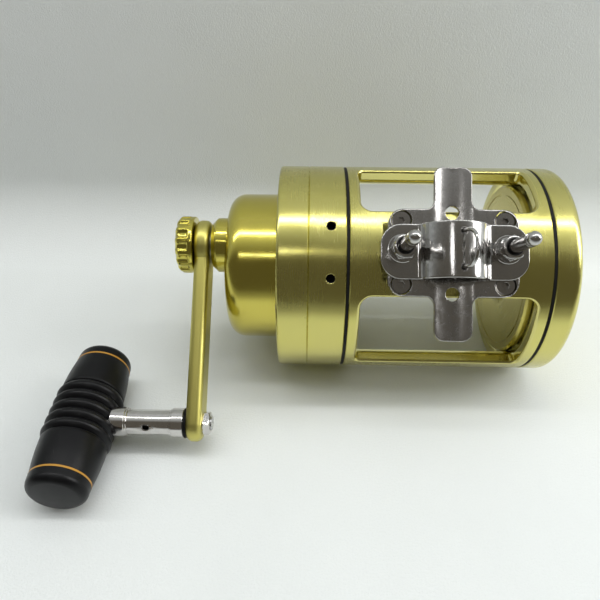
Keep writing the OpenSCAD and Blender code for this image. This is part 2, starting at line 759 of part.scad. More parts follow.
module foot_screws() color("silver") lying() foot_screw_places() difference() {
    union() {
        translate([0, 0, -foot_screw_len]) cylinder(h = foot_screw_len, r = foot_screw_r);
        translate([0, 0, -foot_head_t]) cylinder(h = foot_head_t, r1 = foot_screw_r, r2 = foot_head_r);
    }
    translate([0, 0, -1.8]) cylinder(h = 2, r = socket_r, $fn = 6);
}

// Section of the strap across the rod, centred on the rod
function strap_section() = let (out = strap_len / 2, lift = arch_r - arch_rise,
    a_out = acos(lift / arch_r), inner = arch_r - strap_t, drop = strap_u0 - arch_centre_u,
    a_in = acos(drop / inner), c = [0, arch_centre_u])
    concat([[-out, strap_u0], [-out, strap_u1]],
        arc(c, arch_r, 90 + a_out, 90 - a_out, 24),
        [[out, strap_u1], [out, strap_u0]],
        arc(c, inner, 90 - a_in, 90 + a_in, 24));

module clamp_strap() color("silver") lying() difference() {
    intersection() {
        translate([foot_x, strap_w / 2, 0]) rotate([90, 0, 0]) linear_extrude(height = strap_w)
            polygon(strap_section());
        translate([foot_x, 0, strap_u0 - cut]) linear_extrude(height = arch_rise + strap_t + 2 * cut)
            polygon(rounded_box([-strap_len / 2, -strap_w / 2], [strap_len / 2, strap_w / 2], ear_r, ear_r));
    }
    stud_places() translate([0, 0, strap_u0 - cut]) cylinder(h = strap_t + 2 * cut, r = stud_r + apart);
    for (side = [-1, 1]) loop_place() translate([0, side * loop_half, -2 * strap_t])
        cylinder(h = 4 * strap_t, r = loop_wire + still_fit);
}

module clamp_studs() color("silver") lying() stud_places() {
    rotate_extrude() polygon(concat(
        [[0, seat_u - stud_root + apart], [stud_r, seat_u - stud_root + apart], [stud_r, thread_top],
        [stud_shank_r, thread_top + 0.4], [stud_shank_r, stud_top - 6.6], [stud_neck_r, stud_top - 6.1],
        [stud_neck_r, stud_top - 5.4]],
        arc([0, stud_top - stud_ball_r], stud_ball_r, -42, 90, 8)));
}

module clamp_nuts() color("silver") lying() stud_places() translate([0, 0, strap_u1]) difference() {
    union() {
        cylinder(h = nut_h, r = nut_r, $fn = 6);
        translate([0, 0, nut_h]) cylinder(h = nut_collar_h, r = nut_collar_r);
    }
    translate([0, 0, -cut]) cylinder(h = nut_h + nut_collar_h + 2 * cut, r = stud_r + running);
    translate([0, 0, nut_h + nut_collar_h - insert_h]) cylinder(h = insert_h + cut, r = stud_r + insert_w);
}

module nut_inserts() color("black") lying() stud_places()
    translate([0, 0, strap_u1 + nut_h + nut_collar_h - insert_h]) difference() {
        cylinder(h = insert_h, r = stud_r + insert_w - still_fit);
        translate([0, 0, -cut]) cylinder(h = insert_h + 2 * cut, r = stud_r + running);
    }

module loop_place() {
    translate([loop_x, 0, arch_centre_u + arch_r]) rotate([0, loop_lean, 0]) children();
}

// Wire staple on the arch that takes a lanyard
module safety_loop() color("silver") lying() loop_place() {
    straight = loop_half - loop_bend;
    for (side = [0, 1]) mirror([0, side, 0]) {
        translate([0, loop_half, -strap_t - 0.5])
            cylinder(h = loop_rise - loop_bend + strap_t + 0.5, r = loop_wire);
        translate([0, straight, loop_rise - loop_bend]) rotate([90, 0, 90])
            rotate_extrude(angle = 90) translate([loop_bend, 0]) circle(r = loop_wire);
    }
    translate([0, straight, loop_rise]) rotate([90, 0, 0]) cylinder(h = 2 * straight, r = loop_wire);
}

module spool() color("darkkhaki") lying() {
    in0 = spool_x0 + spool_flange_t;
    in1 = spool_x1 - spool_flange_t;
    turned([[shaft_r + still_fit, spool_x0], [flange_r - spool_lip, spool_x0],
        [flange_r, spool_x0 + spool_lip], [flange_r, in0 - spool_lip], [flange_r - spool_lip, in0],
        [arbor_r + arbor_flare, in0], [arbor_r + arbor_flare / 3, in0 + arbor_flare / 3],
        [arbor_r, in0 + arbor_flare],
        [arbor_r, in1 - arbor_flare], [arbor_r + arbor_flare / 3, in1 - arbor_flare / 3],
        [arbor_r + arbor_flare, in1],
        [groove_r - groove_w / 2, in1], [groove_r - groove_w / 2, in1 + groove_depth],
        [groove_r + groove_w / 2, in1 + groove_depth], [groove_r + groove_w / 2, in1],
        [flange_r - 2 * spool_lip, in1], [flange_r, in1 + 2 * spool_lip],
        [flange_r, spool_x1 - spool_lip], [flange_r - spool_lip, spool_x1],
        [shaft_r + still_fit, spool_x1]]);
}

module spool_shaft() color("silver") lying() {
    x0 = side_x0 - bridge_boss_t + apart;
    x1 = end_brg_x0 + spool_brg_w;
    turned([[0, x0], [pinion_brg_bore, x0], [pinion_brg_bore, side_x0 + apart], [shaft_r, side_x0 + apart],
        [shaft_r, x1], [shaft_r - spool_lip, x1 + spool_lip], [0, x1 + spool_lip]]);
}

// Arm outline in its own plane, hub at the origin and knob end along +x
function arm_outline() = let (a = asin(arm_half_w / arm_hub_r))
    concat(arc([0, 0], arm_hub_r, a, 360 - a, 28), arc([arm_len, 0], arm_half_w, -90, 90, 16));

module handle_arm() color("gold") lying() at_drive() difference() {
    rotate([arm_angle, 0, 0]) axial(arm_x0) linear_extrude(height = arm_t) polygon(arm_outline());
    intersection() {
        disc(arm_x0 - cut, arm_x1 + cut, drive_r + still_fit);
        translate([arm_x0 - cut, -flat_half - still_fit, -drive_r - cut])
            cube([arm_t + 2 * cut, 2 * (flat_half + still_fit), 2 * (drive_r + cut)]);
    }
    rotate([arm_angle, 0, 0]) translate([0, arm_len, 0])
        disc(arm_x0 - cut, arm_x1 + cut, spindle_r + still_fit);
}

module drag_knob() color("gold") lying() at_drive() difference() {
    x1 = arm_x0 - apart;
    x0 = x1 - drag_knob_len;
    turned([[0, x0], [drag_knob_r - 3.4, x0], [drag_knob_r - 1, x0 + 1.4], [drag_knob_r, x0 + 3],
        [drag_knob_r, x1 - 0.6], [drag_knob_r - 0.6, x1], [0, x1]]);
    for (i = [0:flute_count - 1]) rotate([360 * i / flute_count, 0, 0]) translate([0, 0, flute_pos])
        disc(x0 - cut, x1 - rim_t, flute_r);
    disc(drive_x0 - 0.5, x1 + cut, thread_r + running);
}

module knob_spindle() color("silver") lying() at_knob() {
    head_x1 = sleeve_x0 - apart;
    end = arm_x1 + spindle_nut_t + 0.8;
    turned([[0, head_x1 - spindle_head_t], [spindle_head_r, head_x1 - spindle_head_t],
        [spindle_head_r, head_x1], [spindle_r, head_x1], [spindle_r, end], [0, end]]);
}

module spindle_nut() color("silver") lying() at_knob() difference() {
    axial(arm_x1) cylinder(h = spindle_nut_t, r = spindle_nut_r, $fn = 6);
    disc(arm_x1 - cut, arm_x1 + spindle_nut_t + cut, spindle_r + still_fit);
}

module knob_washer() color("black") lying() at_knob()
    pipe(arm_x0 - washer_w, arm_x0, washer_r, spindle_r + still_fit);

module knob_bushes() color("peru") lying() at_knob() {
    pipe(sleeve_x1 - bush_len, sleeve_x1, bush_r, spindle_r + running);
    pipe(sleeve_x0, sleeve_x0 + bush_len, bush_r, spindle_r + running);
}

module knob_sleeve() color("silver") lying() at_knob() difference() {
    waist_x0 = sleeve_x0 + sleeve_far_len;
    waist_x1 = sleeve_x1 - sleeve_end_len;
    step = 0.6;
    turned([[bush_r + still_fit, sleeve_x0], [sleeve_end_r, sleeve_x0], [sleeve_end_r, waist_x0],
        [sleeve_mid_r, waist_x0 + step], [sleeve_mid_r, waist_x1 - step], [sleeve_end_r, waist_x1],
        [sleeve_end_r, sleeve_x1 - step], [sleeve_end_r - step, sleeve_x1], [bush_r + still_fit, sleeve_x1]]);
    rotate([grease_hole_angle, 0, 0]) translate([(waist_x0 + waist_x1) / 2 - grease_hole_shift, 0, 0])
        cylinder(h = 2 * sleeve_end_r, r = grease_hole_r);
}

// Places a shape whose own z axis runs along the grip
module along_grip() {
    at_knob() translate([grip_x, 0, 0]) rotate([-foot_tilt - 90, 0, 0]) children();
}

// Both halves of a shape turned about the grip's length
module grip_turned(outline) {
    along_grip() for (side = [0, 1]) mirror([0, 0, side]) rotate_extrude() polygon(outline);
}

// Ribbed and tapered outline of half the grip, from the middle out
function rib_r(i) = grip_r - rib_depth * (1 - abs(cos(180 * (i / rib_pitch + (rib_count + 1) / 2))));
function grip_half() = concat(
    [for (i = [0:rib_half]) [rib_r(i), i]],
    [[grip_plain_r, rib_half + 0.8], [(grip_plain_r + grip_end_r) / 2 + 0.25, (rib_half + band_pos) / 2],
    [grip_end_r, band_pos]]);

module knob_grip() color("black") lying() difference() {
    grip_turned(concat([[0, 0]], grip_half(), [[0, band_pos]]));
    at_knob() disc(sleeve_x0, grip_x + 2 * grip_r, sleeve_end_r + still_fit);
    at_knob() disc(sleeve_x0 - spindle_head_t - 2 * apart, sleeve_x0 + cut, grip_bore_r);
}

module knob_bands() color("gold") lying() along_grip() for (side = [0, 1]) mirror([0, 0, side])
    translate([0, 0, band_pos]) cylinder(h = band_w, r = grip_end_r + 0.05);

module knob_caps() color("black") lying() grip_turned(concat(
    [[0, band_pos + band_w], [grip_end_r, band_pos + band_w]],
    arc([grip_end_r - 0.3 - cap_edge, grip_len / 2 - 1.2 - cap_edge], cap_edge, 0, 70, 5),
    [[5, grip_len / 2 - 0.25], [0, grip_len / 2]]));

// Ratchet wheel on the spool for the line alarm
module click_gear() color("silver") lying() difference() {
    axial(click_x0) linear_extrude(height = click_gear_t) polygon([for (i = [0:2 * click_teeth - 1])
        let (a = 180 * i / click_teeth) (click_gear_r - click_tooth_h * (i % 2)) * [cos(a), sin(a)]]);
    disc(click_x0 - cut, click_x0 + click_gear_t + cut, end_boss_r - 1);
}

module at_click() {
    rotate([-click_angle, 0, 0]) translate([0, 0, click_pos]) children();
}

module click_tongue() color("silver") lying() at_click() {
    half = button_stem_w / 2;
    translate([tongue_x0, -half, -tongue_tip]) cube([tongue_t, button_stem_w, tongue_tip + half]);
    translate([tongue_x0, -half, -half])
        cube([end_x1 - end_web_t - tongue_x0 - apart, button_stem_w, button_stem_w]);
}

module click_button() color("gold") lying() at_click() {
    translate([end_x1 - end_web_t - apart, -button_stem_w / 2, -button_stem_w / 2])
        cube([end_web_t + 2 * apart, button_stem_w, button_stem_w]);
    disc(end_x1 + apart, end_x1 + button_t, button_r);
}

// Leaf beside the button stem, riveted to the end plate at its outer end
module click_spring() color("silver") lying() at_click() {
    side = button_stem_w / 2 + apart;
    face = end_x1 - end_web_t;
    translate([face - spring_w, side, -click_travel - button_stem_w])
        cube([spring_w, leaf_t, click_travel + button_stem_w + spring_tail]);
    translate([face - leaf_t, side, spring_tail]) cube([leaf_t, spring_w + leaf_t, spring_w]);
    translate([0, side + leaf_t + spring_w / 2, spring_tail + spring_w / 2])
        disc(face - 1.4, face - leaf_t, rivet_r);
}

frame();
seal_left();
seal_right();
side_plate();
gearbox_ring();
gear_cup();
cup_screws();
gear_side_screws();
drive_collar();
end_plate();
end_plate_screws();
bearing_cap();
foot();
foot_screws();
clamp_strap();
clamp_studs();
clamp_nuts();
nut_inserts();
safety_loop();
spool();
spool_shaft();
spool_bearing_left();
spool_bearing_right();
pinion_bearing();
bridge_plate();
bridge_screws();
pinion();
main_gear();
drive_shaft();
drive_bearing_inner();
drive_bearing_outer();
one_way_clutch();
drag_discs();
drag_plates();
spring_washers();
drag_sleeve();
handle_arm();
drag_knob();
knob_spindle();
spindle_nut();
knob_washer();
knob_bushes();
knob_sleeve();
knob_grip();
knob_bands();
knob_caps();
click_gear();
click_tongue();
click_button();
click_spring();
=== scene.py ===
import json
import math
import bmesh
import bpy
import numpy as np
from mathutils import Matrix, Vector
from mathutils.geometry import delaunay_2d_cdt


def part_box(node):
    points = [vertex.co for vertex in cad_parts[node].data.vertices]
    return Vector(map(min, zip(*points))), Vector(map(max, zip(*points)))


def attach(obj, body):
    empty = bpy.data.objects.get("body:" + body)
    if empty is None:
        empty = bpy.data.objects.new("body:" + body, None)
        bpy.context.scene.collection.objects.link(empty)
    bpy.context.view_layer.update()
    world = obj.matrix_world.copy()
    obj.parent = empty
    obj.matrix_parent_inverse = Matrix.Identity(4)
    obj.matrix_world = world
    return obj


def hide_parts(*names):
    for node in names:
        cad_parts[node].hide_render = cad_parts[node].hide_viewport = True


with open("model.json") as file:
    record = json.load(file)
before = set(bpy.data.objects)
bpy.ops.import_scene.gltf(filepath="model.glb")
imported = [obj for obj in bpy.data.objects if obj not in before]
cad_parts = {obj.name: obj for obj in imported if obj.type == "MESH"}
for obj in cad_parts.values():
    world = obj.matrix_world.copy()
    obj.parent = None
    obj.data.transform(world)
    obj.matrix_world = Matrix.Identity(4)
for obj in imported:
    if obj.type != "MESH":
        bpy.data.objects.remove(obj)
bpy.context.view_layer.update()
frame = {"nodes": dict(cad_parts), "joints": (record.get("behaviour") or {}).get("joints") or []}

scene = bpy.context.scene
nodes = frame["nodes"]
joints = {j["name"]: j for j in frame["joints"]}
scene.view_settings.view_transform = "Standard"

# Reel axes in millimetres: x along the spool, y towards the rod tip, z out of the foot
plateLo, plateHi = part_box("side_plate")
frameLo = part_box("frame")[0]
bodyR = (plateHi.z - plateLo.z) * 500
clampAxis = Vector(joints["clamp_lift"]["axis"])
footTilt = math.atan2(-clampAxis.y, clampAxis.z)
spoolAxisAt = Vector((frameLo.x, (plateLo.y + plateHi.y) / 2, (plateLo.z + plateHi.z) / 2))
reelAxes = Matrix.Translation(spoolAxisAt) @ Matrix.Rotation(footTilt, 4, "X") @ Matrix.Scale(0.001, 4)
toReel = reelAxes.inverted()
driveAt = toReel @ Vector(joints["handle_turn"]["pos_m"])
knobAt = toReel @ Vector(joints["grip_spin"]["pos_m"])

# Camera, placed in the reel's own axes
cameraSizes = {"at": (-19.5, -41.1, 325.6), "lens": 33.22, "yaw": -0.993, "pitch": -3.501, "roll": 0.794,
               "sensor": 36, "near": 0.01}


def makeCamera(sizes):
    at = reelAxes @ Vector(sizes["at"])
    toAxis = spoolAxisAt - at
    ahead = Vector((0, toAxis.y, toAxis.z)).normalized()
    up = Vector((1, 0, 0)).cross(ahead)
    yaw, pitch, roll = (math.radians(sizes[k]) for k in ("yaw", "pitch", "roll"))
    sideways = Vector((math.sin(yaw) * math.cos(pitch), 0, 0))
    look = sideways + ahead * math.cos(yaw) * math.cos(pitch) + up * math.sin(pitch)
    side = Vector((math.cos(yaw), 0, 0)) - ahead * math.sin(yaw)
    top = side.cross(look)
    right = side * math.cos(roll) + top * math.sin(roll)
    over = top * math.cos(roll) - side * math.sin(roll)
    data = bpy.data.cameras.new("camera")
    data.sensor_width = sizes["sensor"]
    data.lens = sizes["lens"]
    data.clip_start = sizes["near"]
    camera = bpy.data.objects.new("camera", data)
    turn = Matrix((right, over, -look)).transposed().to_4x4()
    camera.matrix_world = Matrix.Translation(at) @ turn
    scene.collection.objects.link(camera)
    scene.camera = camera


makeCamera(cameraSizes)
print("camera placed")


# Building shapes from rings, outlines and slabs
class Shape:
    def __init__(self):
        self.points, self.faces, self.slots = [], [], []

    def add(self, points, faces, slot=0):
        start = len(self.points)
        self.points += [Vector(p) for p in points]
        self.faces += [[start + i for i in f] for f in faces]
        self.slots += [slot] * len(faces)

    def strip(self, loopA, loopB, slot=0):
        n = len(loopA)
        faces = [(i, (i + 1) % n, n + (i + 1) % n, n + i) for i in range(n)]
        self.add(list(loopA) + list(loopB), faces, slot)

    def strips(self, loops, slot=0):
        for a, b in zip(loops, loops[1:]):
            self.strip(a, b, slot)

    def fan(self, loop, slot=0):
        centre = sum((Vector(p) for p in loop), Vector()) / len(loop)
        n = len(loop)
        self.add(list(loop) + [centre], [(i, (i + 1) % n, n) for i in range(n)], slot)


def roundedPath(corners, steps=6, closed=True):
    # (along, radius, round) corners: round above 0 is an arc, below 0 a flat chamfer
    path = []
    count = len(corners)
    for i, corner in enumerate(corners):
        p = Vector(corner[:2])
        size = corner[2] if len(corner) > 2 else 0
        if size == 0 or (not closed and i in (0, count - 1)):
            path.append(p)
            continue
        before = (Vector(corners[i - 1][:2]) - p).normalized()
        after = (Vector(corners[(i + 1) % count][:2]) - p).normalized()
        if size < 0:
            path += [p - before * size, p - after * size]
            continue
        half = before.angle(after) / 2
        centre = p + (before + after).normalized() * size / math.sin(half)
        a = p + before * size / math.tan(half) - centre
        b = p + after * size / math.tan(half) - centre
        turn = a.angle_signed(b)
        for k in range(steps + 1):
            t = -turn * k / steps
            path.append(centre + Vector((a.x * math.cos(t) - a.y * math.sin(t),
                                         a.x * math.sin(t) + a.y * math.cos(t))))
    return path


def quarter(steps, first=0):
    # Angles of a quarter turn in even steps
    return [math.radians(90 * k / steps) for k in range(first, steps + 1)]


def circleRing(x, r, centre, segments):
    ring = []
    for i in range(segments):
        a = 2 * math.pi * i / segments
        ring.append(Vector((x, centre[0] + r * math.sin(a), centre[1] + r * math.cos(a))))
    return ring


def lathe(shape, path, centre=(0, 0), segments=160, closed=True):
    rings = [circleRing(x, r, centre, segments) for x, r in path]
    if closed:
        rings.append(rings[0])
    shape.strips(rings)


def insideLoop(points, loop):
    x, y = points[:, 0], points[:, 1]
    hit = np.zeros(len(points), bool)
    a = np.array([tuple(p)[:2] for p in loop])
    b = np.roll(a, -1, axis=0)
    for (ax, ay), (bx, by) in zip(a, b):
        if ay == by:
            continue
        crosses = ((ay > y) != (by > y)) & (x < (bx - ax) * (y - ay) / (by - ay) + ax)
        hit ^= crosses
    return hit


def fillRegion(outer, holes, spacing):
    # Triangles that fill a flat outline with holes, with points spread evenly inside
    loops = [outer] + list(holes)
    points, edges = [], []
    for loop in loops:
        start = len(points)
        points += [(p[0], p[1]) for p in loop]
        edges += [(start + i, start + (i + 1) % len(loop)) for i in range(len(loop))]
    rim = np.array(points)
    lo, hi = rim.min(0), rim.max(0)
    gx, gy = np.meshgrid(np.arange(lo[0] + spacing / 2, hi[0], spacing),
                         np.arange(lo[1] + spacing / 2, hi[1], spacing))
    grid = np.stack([gx.ravel(), gy.ravel()], 1)
    keep = insideLoop(grid, outer)
    for hole in holes:
        keep &= ~insideLoop(grid, hole)
    grid = grid[keep]
    if len(grid):
        parts = np.array_split(grid, max(1, len(grid) // 500))
        near = np.concatenate([np.abs(part[:, None, :] - rim[None]).max(2).min(1) for part in parts])
        grid = grid[near > spacing * 0.45]
    points += [tuple(p) for p in grid]
    verts, _, faces, _, _, _ = delaunay_2d_cdt([Vector(p) for p in points], edges, [], 0, 1e-7)
    flat = np.array([tuple(v) for v in verts])
    tris = np.array([tuple(f) for f in faces])
    middle = flat[tris].mean(1)
    good = insideLoop(middle, outer)
    for hole in holes:
        good &= ~insideLoop(middle, hole)
    return flat, tris[good]


def addFill(shape, outer, holes, spacing, place):
    flat, tris = fillRegion(outer, holes, spacing)
    shape.add([place(x, y) for x, y in flat], [tuple(t) for t in tris])


def growLoop(loop, distance):
    # Moves each point of a counter-clockwise outline outwards
    grown = []
    n = len(loop)
    for i in range(n):
        before = (loop[i] - loop[i - 1]).normalized()
        after = (loop[(i + 1) % n] - loop[i]).normalized()
        mean = before + after
        normal = Vector((mean.y, -mean.x)).normalized()
        grown.append(loop[i] + normal * distance / max(0.5, normal.dot(Vector((after.y, -after.x)))))
    return grown


def roundedRect(x0, x1, y0, y1, low, high, spacing, grow=0.0, steps=8):
    # Counter-clockwise, with the same number of points whatever grow is
    corners = [(x0 + low, y0 + low, low, 180), (x1 - low, y0 + low, low, 270),
               (x1 - high, y1 - high, high, 0), (x0 + high, y1 - high, high, 90)]
    arcs = []
    for cx, cy, r, start in corners:
        turn = [math.radians(start + 90 * k / steps) for k in range(steps + 1)]
        arcs.append([(Vector((cx + r * math.cos(t), cy + r * math.sin(t))),
                      Vector((math.cos(t), math.sin(t)))) for t in turn])
    loop = []
    for i, part in enumerate(arcs):
        loop += [p + n * grow for p, n in part]
        end, start = part[-1], arcs[(i + 1) % 4][0]
        count = max(1, round((start[0] - end[0]).length / spacing))
        loop += [end[0] + (start[0] - end[0]) * k / count + end[1] * grow for k in range(1, count)]
    return loop


def slab(shape, outer, holes, bevel, place, spacing, steps, holeBevel):
    # A plate with rounded edges. place(a, b, top, depth) gives the point depth under its top or bottom face
    levels = []
    for side in (1, 0):
        turns = [math.pi / 2 * k / steps for k in range(steps + 1)]
        part = [(1 - math.sin(t), 1 - math.cos(t)) for t in turns]
        levels += [(side, a, d) for a, d in (part if side else part[::-1])]
    loops = [(outer, bevel, -1)] + [(h, holeBevel, 1) for h in holes]
    rims = []
    for loop, size, way in loops:
        rings = []
        for side, inset, depth in levels:
            moved = growLoop(loop, way * inset * size)
            rings.append([place(p.x, p.y, side, depth * size) for p in moved])
        shape.strips(rings)
        rims.append(growLoop(loop, way * size))
    for side in (1, 0):
        addFill(shape, rims[0], rims[1:], spacing, lambda x, y, s=side: place(x, y, s, 0))


def circleLoop(x, y, r, count=40):
    return [Vector((x + r * math.cos(2 * math.pi * k / count),
                    y + r * math.sin(2 * math.pi * k / count))) for k in range(count)]


def settle(obj):
    # Turns the evaluated object into a plain mesh and drops its modifiers
    graph = bpy.context.evaluated_depsgraph_get()
    graph.update()
    mesh = bpy.data.meshes.new_from_object(obj.evaluated_get(graph), preserve_all_data_layers=True,
                                           depsgraph=graph)
    mesh.name = obj.name
    obj.modifiers.clear()
    obj.data = mesh
    return obj


def meshFrom(name, shape, place, sharp=30):
    mesh = bpy.data.meshes.new(name)
    mesh.from_pydata([tuple(p) for p in shape.points], [], shape.faces)
    mesh.polygons.foreach_set("material_index", shape.slots)
    work = bmesh.new()
    work.from_mesh(mesh)
    bmesh.ops.remove_doubles(work, verts=work.verts, dist=0.004)
    bmesh.ops.dissolve_degenerate(work, edges=work.edges, dist=0.0005)
    bmesh.ops.recalc_face_normals(work, faces=work.faces)
    work.to_mesh(mesh)
    work.free()
    mesh.transform(place)
    mesh.shade_smooth()
    mesh.set_sharp_from_angle(angle=math.radians(sharp))
    return mesh


def addObject(name, mesh, materials):
    obj = bpy.data.objects.new(name, mesh)
    for material in materials:
        obj.data.materials.append(material)
    scene.collection.objects.link(obj)
    return obj


def finishPiece(obj, body, replaced, evenNormals=True):
    if evenNormals:
        modifier = obj.modifiers.new("evenNormals", "WEIGHTED_NORMAL")
        modifier.keep_sharp = True
    if len(obj.modifiers):
        settle(obj)
    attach(obj, body)
    if replaced:
        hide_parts(*replaced)
    return obj


def makePiece(name, shape, materials, body, replaced=(), place=reelAxes, sharp=30):
    obj = addObject(name, meshFrom(name, shape, place, sharp), materials)
    return finishPiece(obj, body, replaced)


def cutAway(obj, cutters):
    # Exact cuts, each with a closed mesh in the same place
    for k, (shape, place) in enumerate(cutters):
        tool = addObject(f"tool{k}", meshFrom(f"tool{k}", shape, place), [])
        modifier = obj.modifiers.new("cut", "BOOLEAN")
        modifier.solver = "EXACT"
        modifier.operation = "DIFFERENCE"
        modifier.object = tool
        settle(obj)
        bpy.data.objects.remove(tool)


def boxShape(lo, hi):
    shape = Shape()
    corners = [(x, y, z) for x in (lo[0], hi[0]) for y in (lo[1], hi[1]) for z in (lo[2], hi[2])]
    shape.add(corners, [(0, 1, 3, 2), (4, 6, 7, 5), (0, 4, 5, 1), (2, 3, 7, 6), (0, 2, 6, 4), (1, 5, 7, 3)])
    return shape


def rodShape(x0, x1, r, segments=40):
    shape = Shape()
    lathe(shape, [(x0, 0), (x0, r), (x1, r), (x1, 0)], segments=segments, closed=False)
    return shape


# Materials
def addNode(tree, kind, settings=None, **inputs):
    node = tree.nodes.new(kind)
    for key, value in (settings or {}).items():
        setattr(node, key, value)
    for key, value in inputs.items():
        numbered = key.startswith("in") and key[2:].isdigit()
        socket = node.inputs[int(key[2:]) if numbered else key.replace("_", " ")]
        if isinstance(value, bpy.types.NodeSocket):
            tree.links.new(value, socket)
        else:
            socket.default_value = value
    return node


def startMaterial(name, metallic, roughness, coat=0.0, coatRoughness=0.1, ior=1.5):
    material = bpy.data.materials.new(name)
    material.use_nodes = True
    tree = material.node_tree
    tree.nodes.clear()
    shader = tree.nodes.new("ShaderNodeBsdfPrincipled")
    out = tree.nodes.new("ShaderNodeOutputMaterial")
    tree.links.new(shader.outputs[0], out.inputs[0])
    shader.inputs["Metallic"].default_value = metallic
    shader.inputs["Roughness"].default_value = roughness
    shader.inputs["Coat Weight"].default_value = coat
    shader.inputs["Coat Roughness"].default_value = coatRoughness
    shader.inputs["IOR"].default_value = ior
    coords = tree.nodes.new("ShaderNodeTexCoord").outputs["Object"]
    return material, tree, shader, coords


def finishMaterial(tree, shader, tone, height, strength, distance, rough=None):
    tree.links.new(tone, shader.inputs["Base Color"])
    if rough:
        tree.links.new(rough, shader.inputs["Roughness"])
    bump = addNode(tree, "ShaderNodeBump", Height=height, Strength=strength, Distance=distance).outputs[0]
    tree.links.new(bump, shader.inputs["Normal"])


def math2(tree, operation, a, b=0.0):
    return addNode(tree, "ShaderNodeMath", {"operation": operation}, in0=a, in1=b).outputs[0]


def noise(tree, vector, scale, detail=3.0, roughness=0.55, distortion=0.0):
    return addNode(tree, "ShaderNodeTexNoise", Vector=vector, Scale=scale, Detail=detail, Roughness=roughness,
                   Distortion=distortion).outputs["Fac"]


def ramp(tree, value, lo, hi, a=0.0, b=1.0):
    return addNode(tree, "ShaderNodeMapRange", {"clamp": True}, Value=value, From_Min=lo, From_Max=hi,
                   To_Min=a, To_Max=b).outputs[0]


def mixColor(tree, factor, a, b):
    node = addNode(tree, "ShaderNodeMix", {"data_type": "RGBA"}, in0=factor, in6=a, in7=b)
    return node.outputs[2]


def scratches(tree, coords, scale, thin, stretch, turn):
    # Thin broken lines: 1 on a scratch, 0 elsewhere
    spread = addNode(tree, "ShaderNodeMapping", Vector=coords, Rotation=turn, Scale=stretch).outputs[0]
    cells = addNode(tree, "ShaderNodeTexVoronoi", {"feature": "DISTANCE_TO_EDGE"}, Vector=spread,
                    Scale=scale).outputs["Distance"]
    line = ramp(tree, cells, 0.0, thin, 1.0, 0.0)
    patch = ramp(tree, noise(tree, coords, scale * 4, 1.0), 0.62, 0.68)
    return math2(tree, "MULTIPLY", line, patch)


def turnedMetal(name, sizes):
    # Lathe-turned metal: fine rings about an axis along x, smudges, small scratches
    material, tree, shader, coords = startMaterial(name, 1.0, sizes["roughness"], sizes["coat"],
                                                   sizes["coatRoughness"])
    centre = sizes["centre"]
    moved = addNode(tree, "ShaderNodeMapping", Vector=coords, Location=(0, -centre[0], -centre[1])).outputs[0]
    parts = addNode(tree, "ShaderNodeSeparateXYZ", in0=moved).outputs
    radial = addNode(tree, "ShaderNodeCombineXYZ", in0=0.0, in1=parts[1], in2=parts[2]).outputs[0]
    radius = addNode(tree, "ShaderNodeVectorMath", {"operation": "LENGTH"}, in0=radial).outputs["Value"]
    around = math2(tree, "MULTIPLY", math2(tree, "ARCTAN2", parts[1], parts[2]), sizes["breakup"])
    rings = addNode(tree, "ShaderNodeCombineXYZ", in0=parts[0], in1=radius, in2=around).outputs[0]
    fine = noise(tree, rings, sizes["fineScale"], 2.0, 0.6)
    broad = noise(tree, rings, sizes["broadScale"], 3.0, 0.6)
    lines = math2(tree, "ADD", math2(tree, "MULTIPLY", fine, 0.6), math2(tree, "MULTIPLY", broad, 0.4))
    smudge = noise(tree, coords, sizes["smudgeScale"], 4.0, 0.6, 0.6)
    marks = scratches(tree, coords, sizes["markScale"], sizes["markThin"], (1, 0.25, 0.6), (0.5, 0.2, 0.9))
    tone = mixColor(tree, ramp(tree, smudge, 0.35, 0.68), sizes["color"], sizes["worn"])
    tone = mixColor(tree, math2(tree, "MULTIPLY", ramp(tree, lines, 0.3, 0.7), sizes["lineTone"]), tone,
                    sizes["shade"])
    tone = mixColor(tree, math2(tree, "MULTIPLY", marks, 0.5), tone, sizes["scratch"])
    rough = math2(tree, "ADD", ramp(tree, lines, 0.3, 0.7, sizes["roughness"] - sizes["roughSpread"],
                                    sizes["roughness"] + sizes["roughSpread"]),
                  ramp(tree, smudge, 0.4, 0.75, 0.0, 0.09))
    height = math2(tree, "SUBTRACT", lines, math2(tree, "MULTIPLY", marks, 0.8))
    finishMaterial(tree, shader, tone, height, sizes["bump"], 0.0002, rough)
    shader.inputs["Anisotropic"].default_value = sizes["anisotropic"]
    along = addNode(tree, "ShaderNodeVectorMath", {"operation": "NORMALIZE"}, in0=radial).outputs[0]
    along = addNode(tree, "ShaderNodeVectorMath", {"operation": "ADD"}, in0=along, in1=(1, 0, 0)).outputs[0]
    along = addNode(tree, "ShaderNodeVectorTransform",
                    {"vector_type": "VECTOR", "convert_from": "OBJECT", "convert_to": "WORLD"},
                    in0=along).outputs[0]
    tree.links.new(along, shader.inputs["Tangent"])
    return material


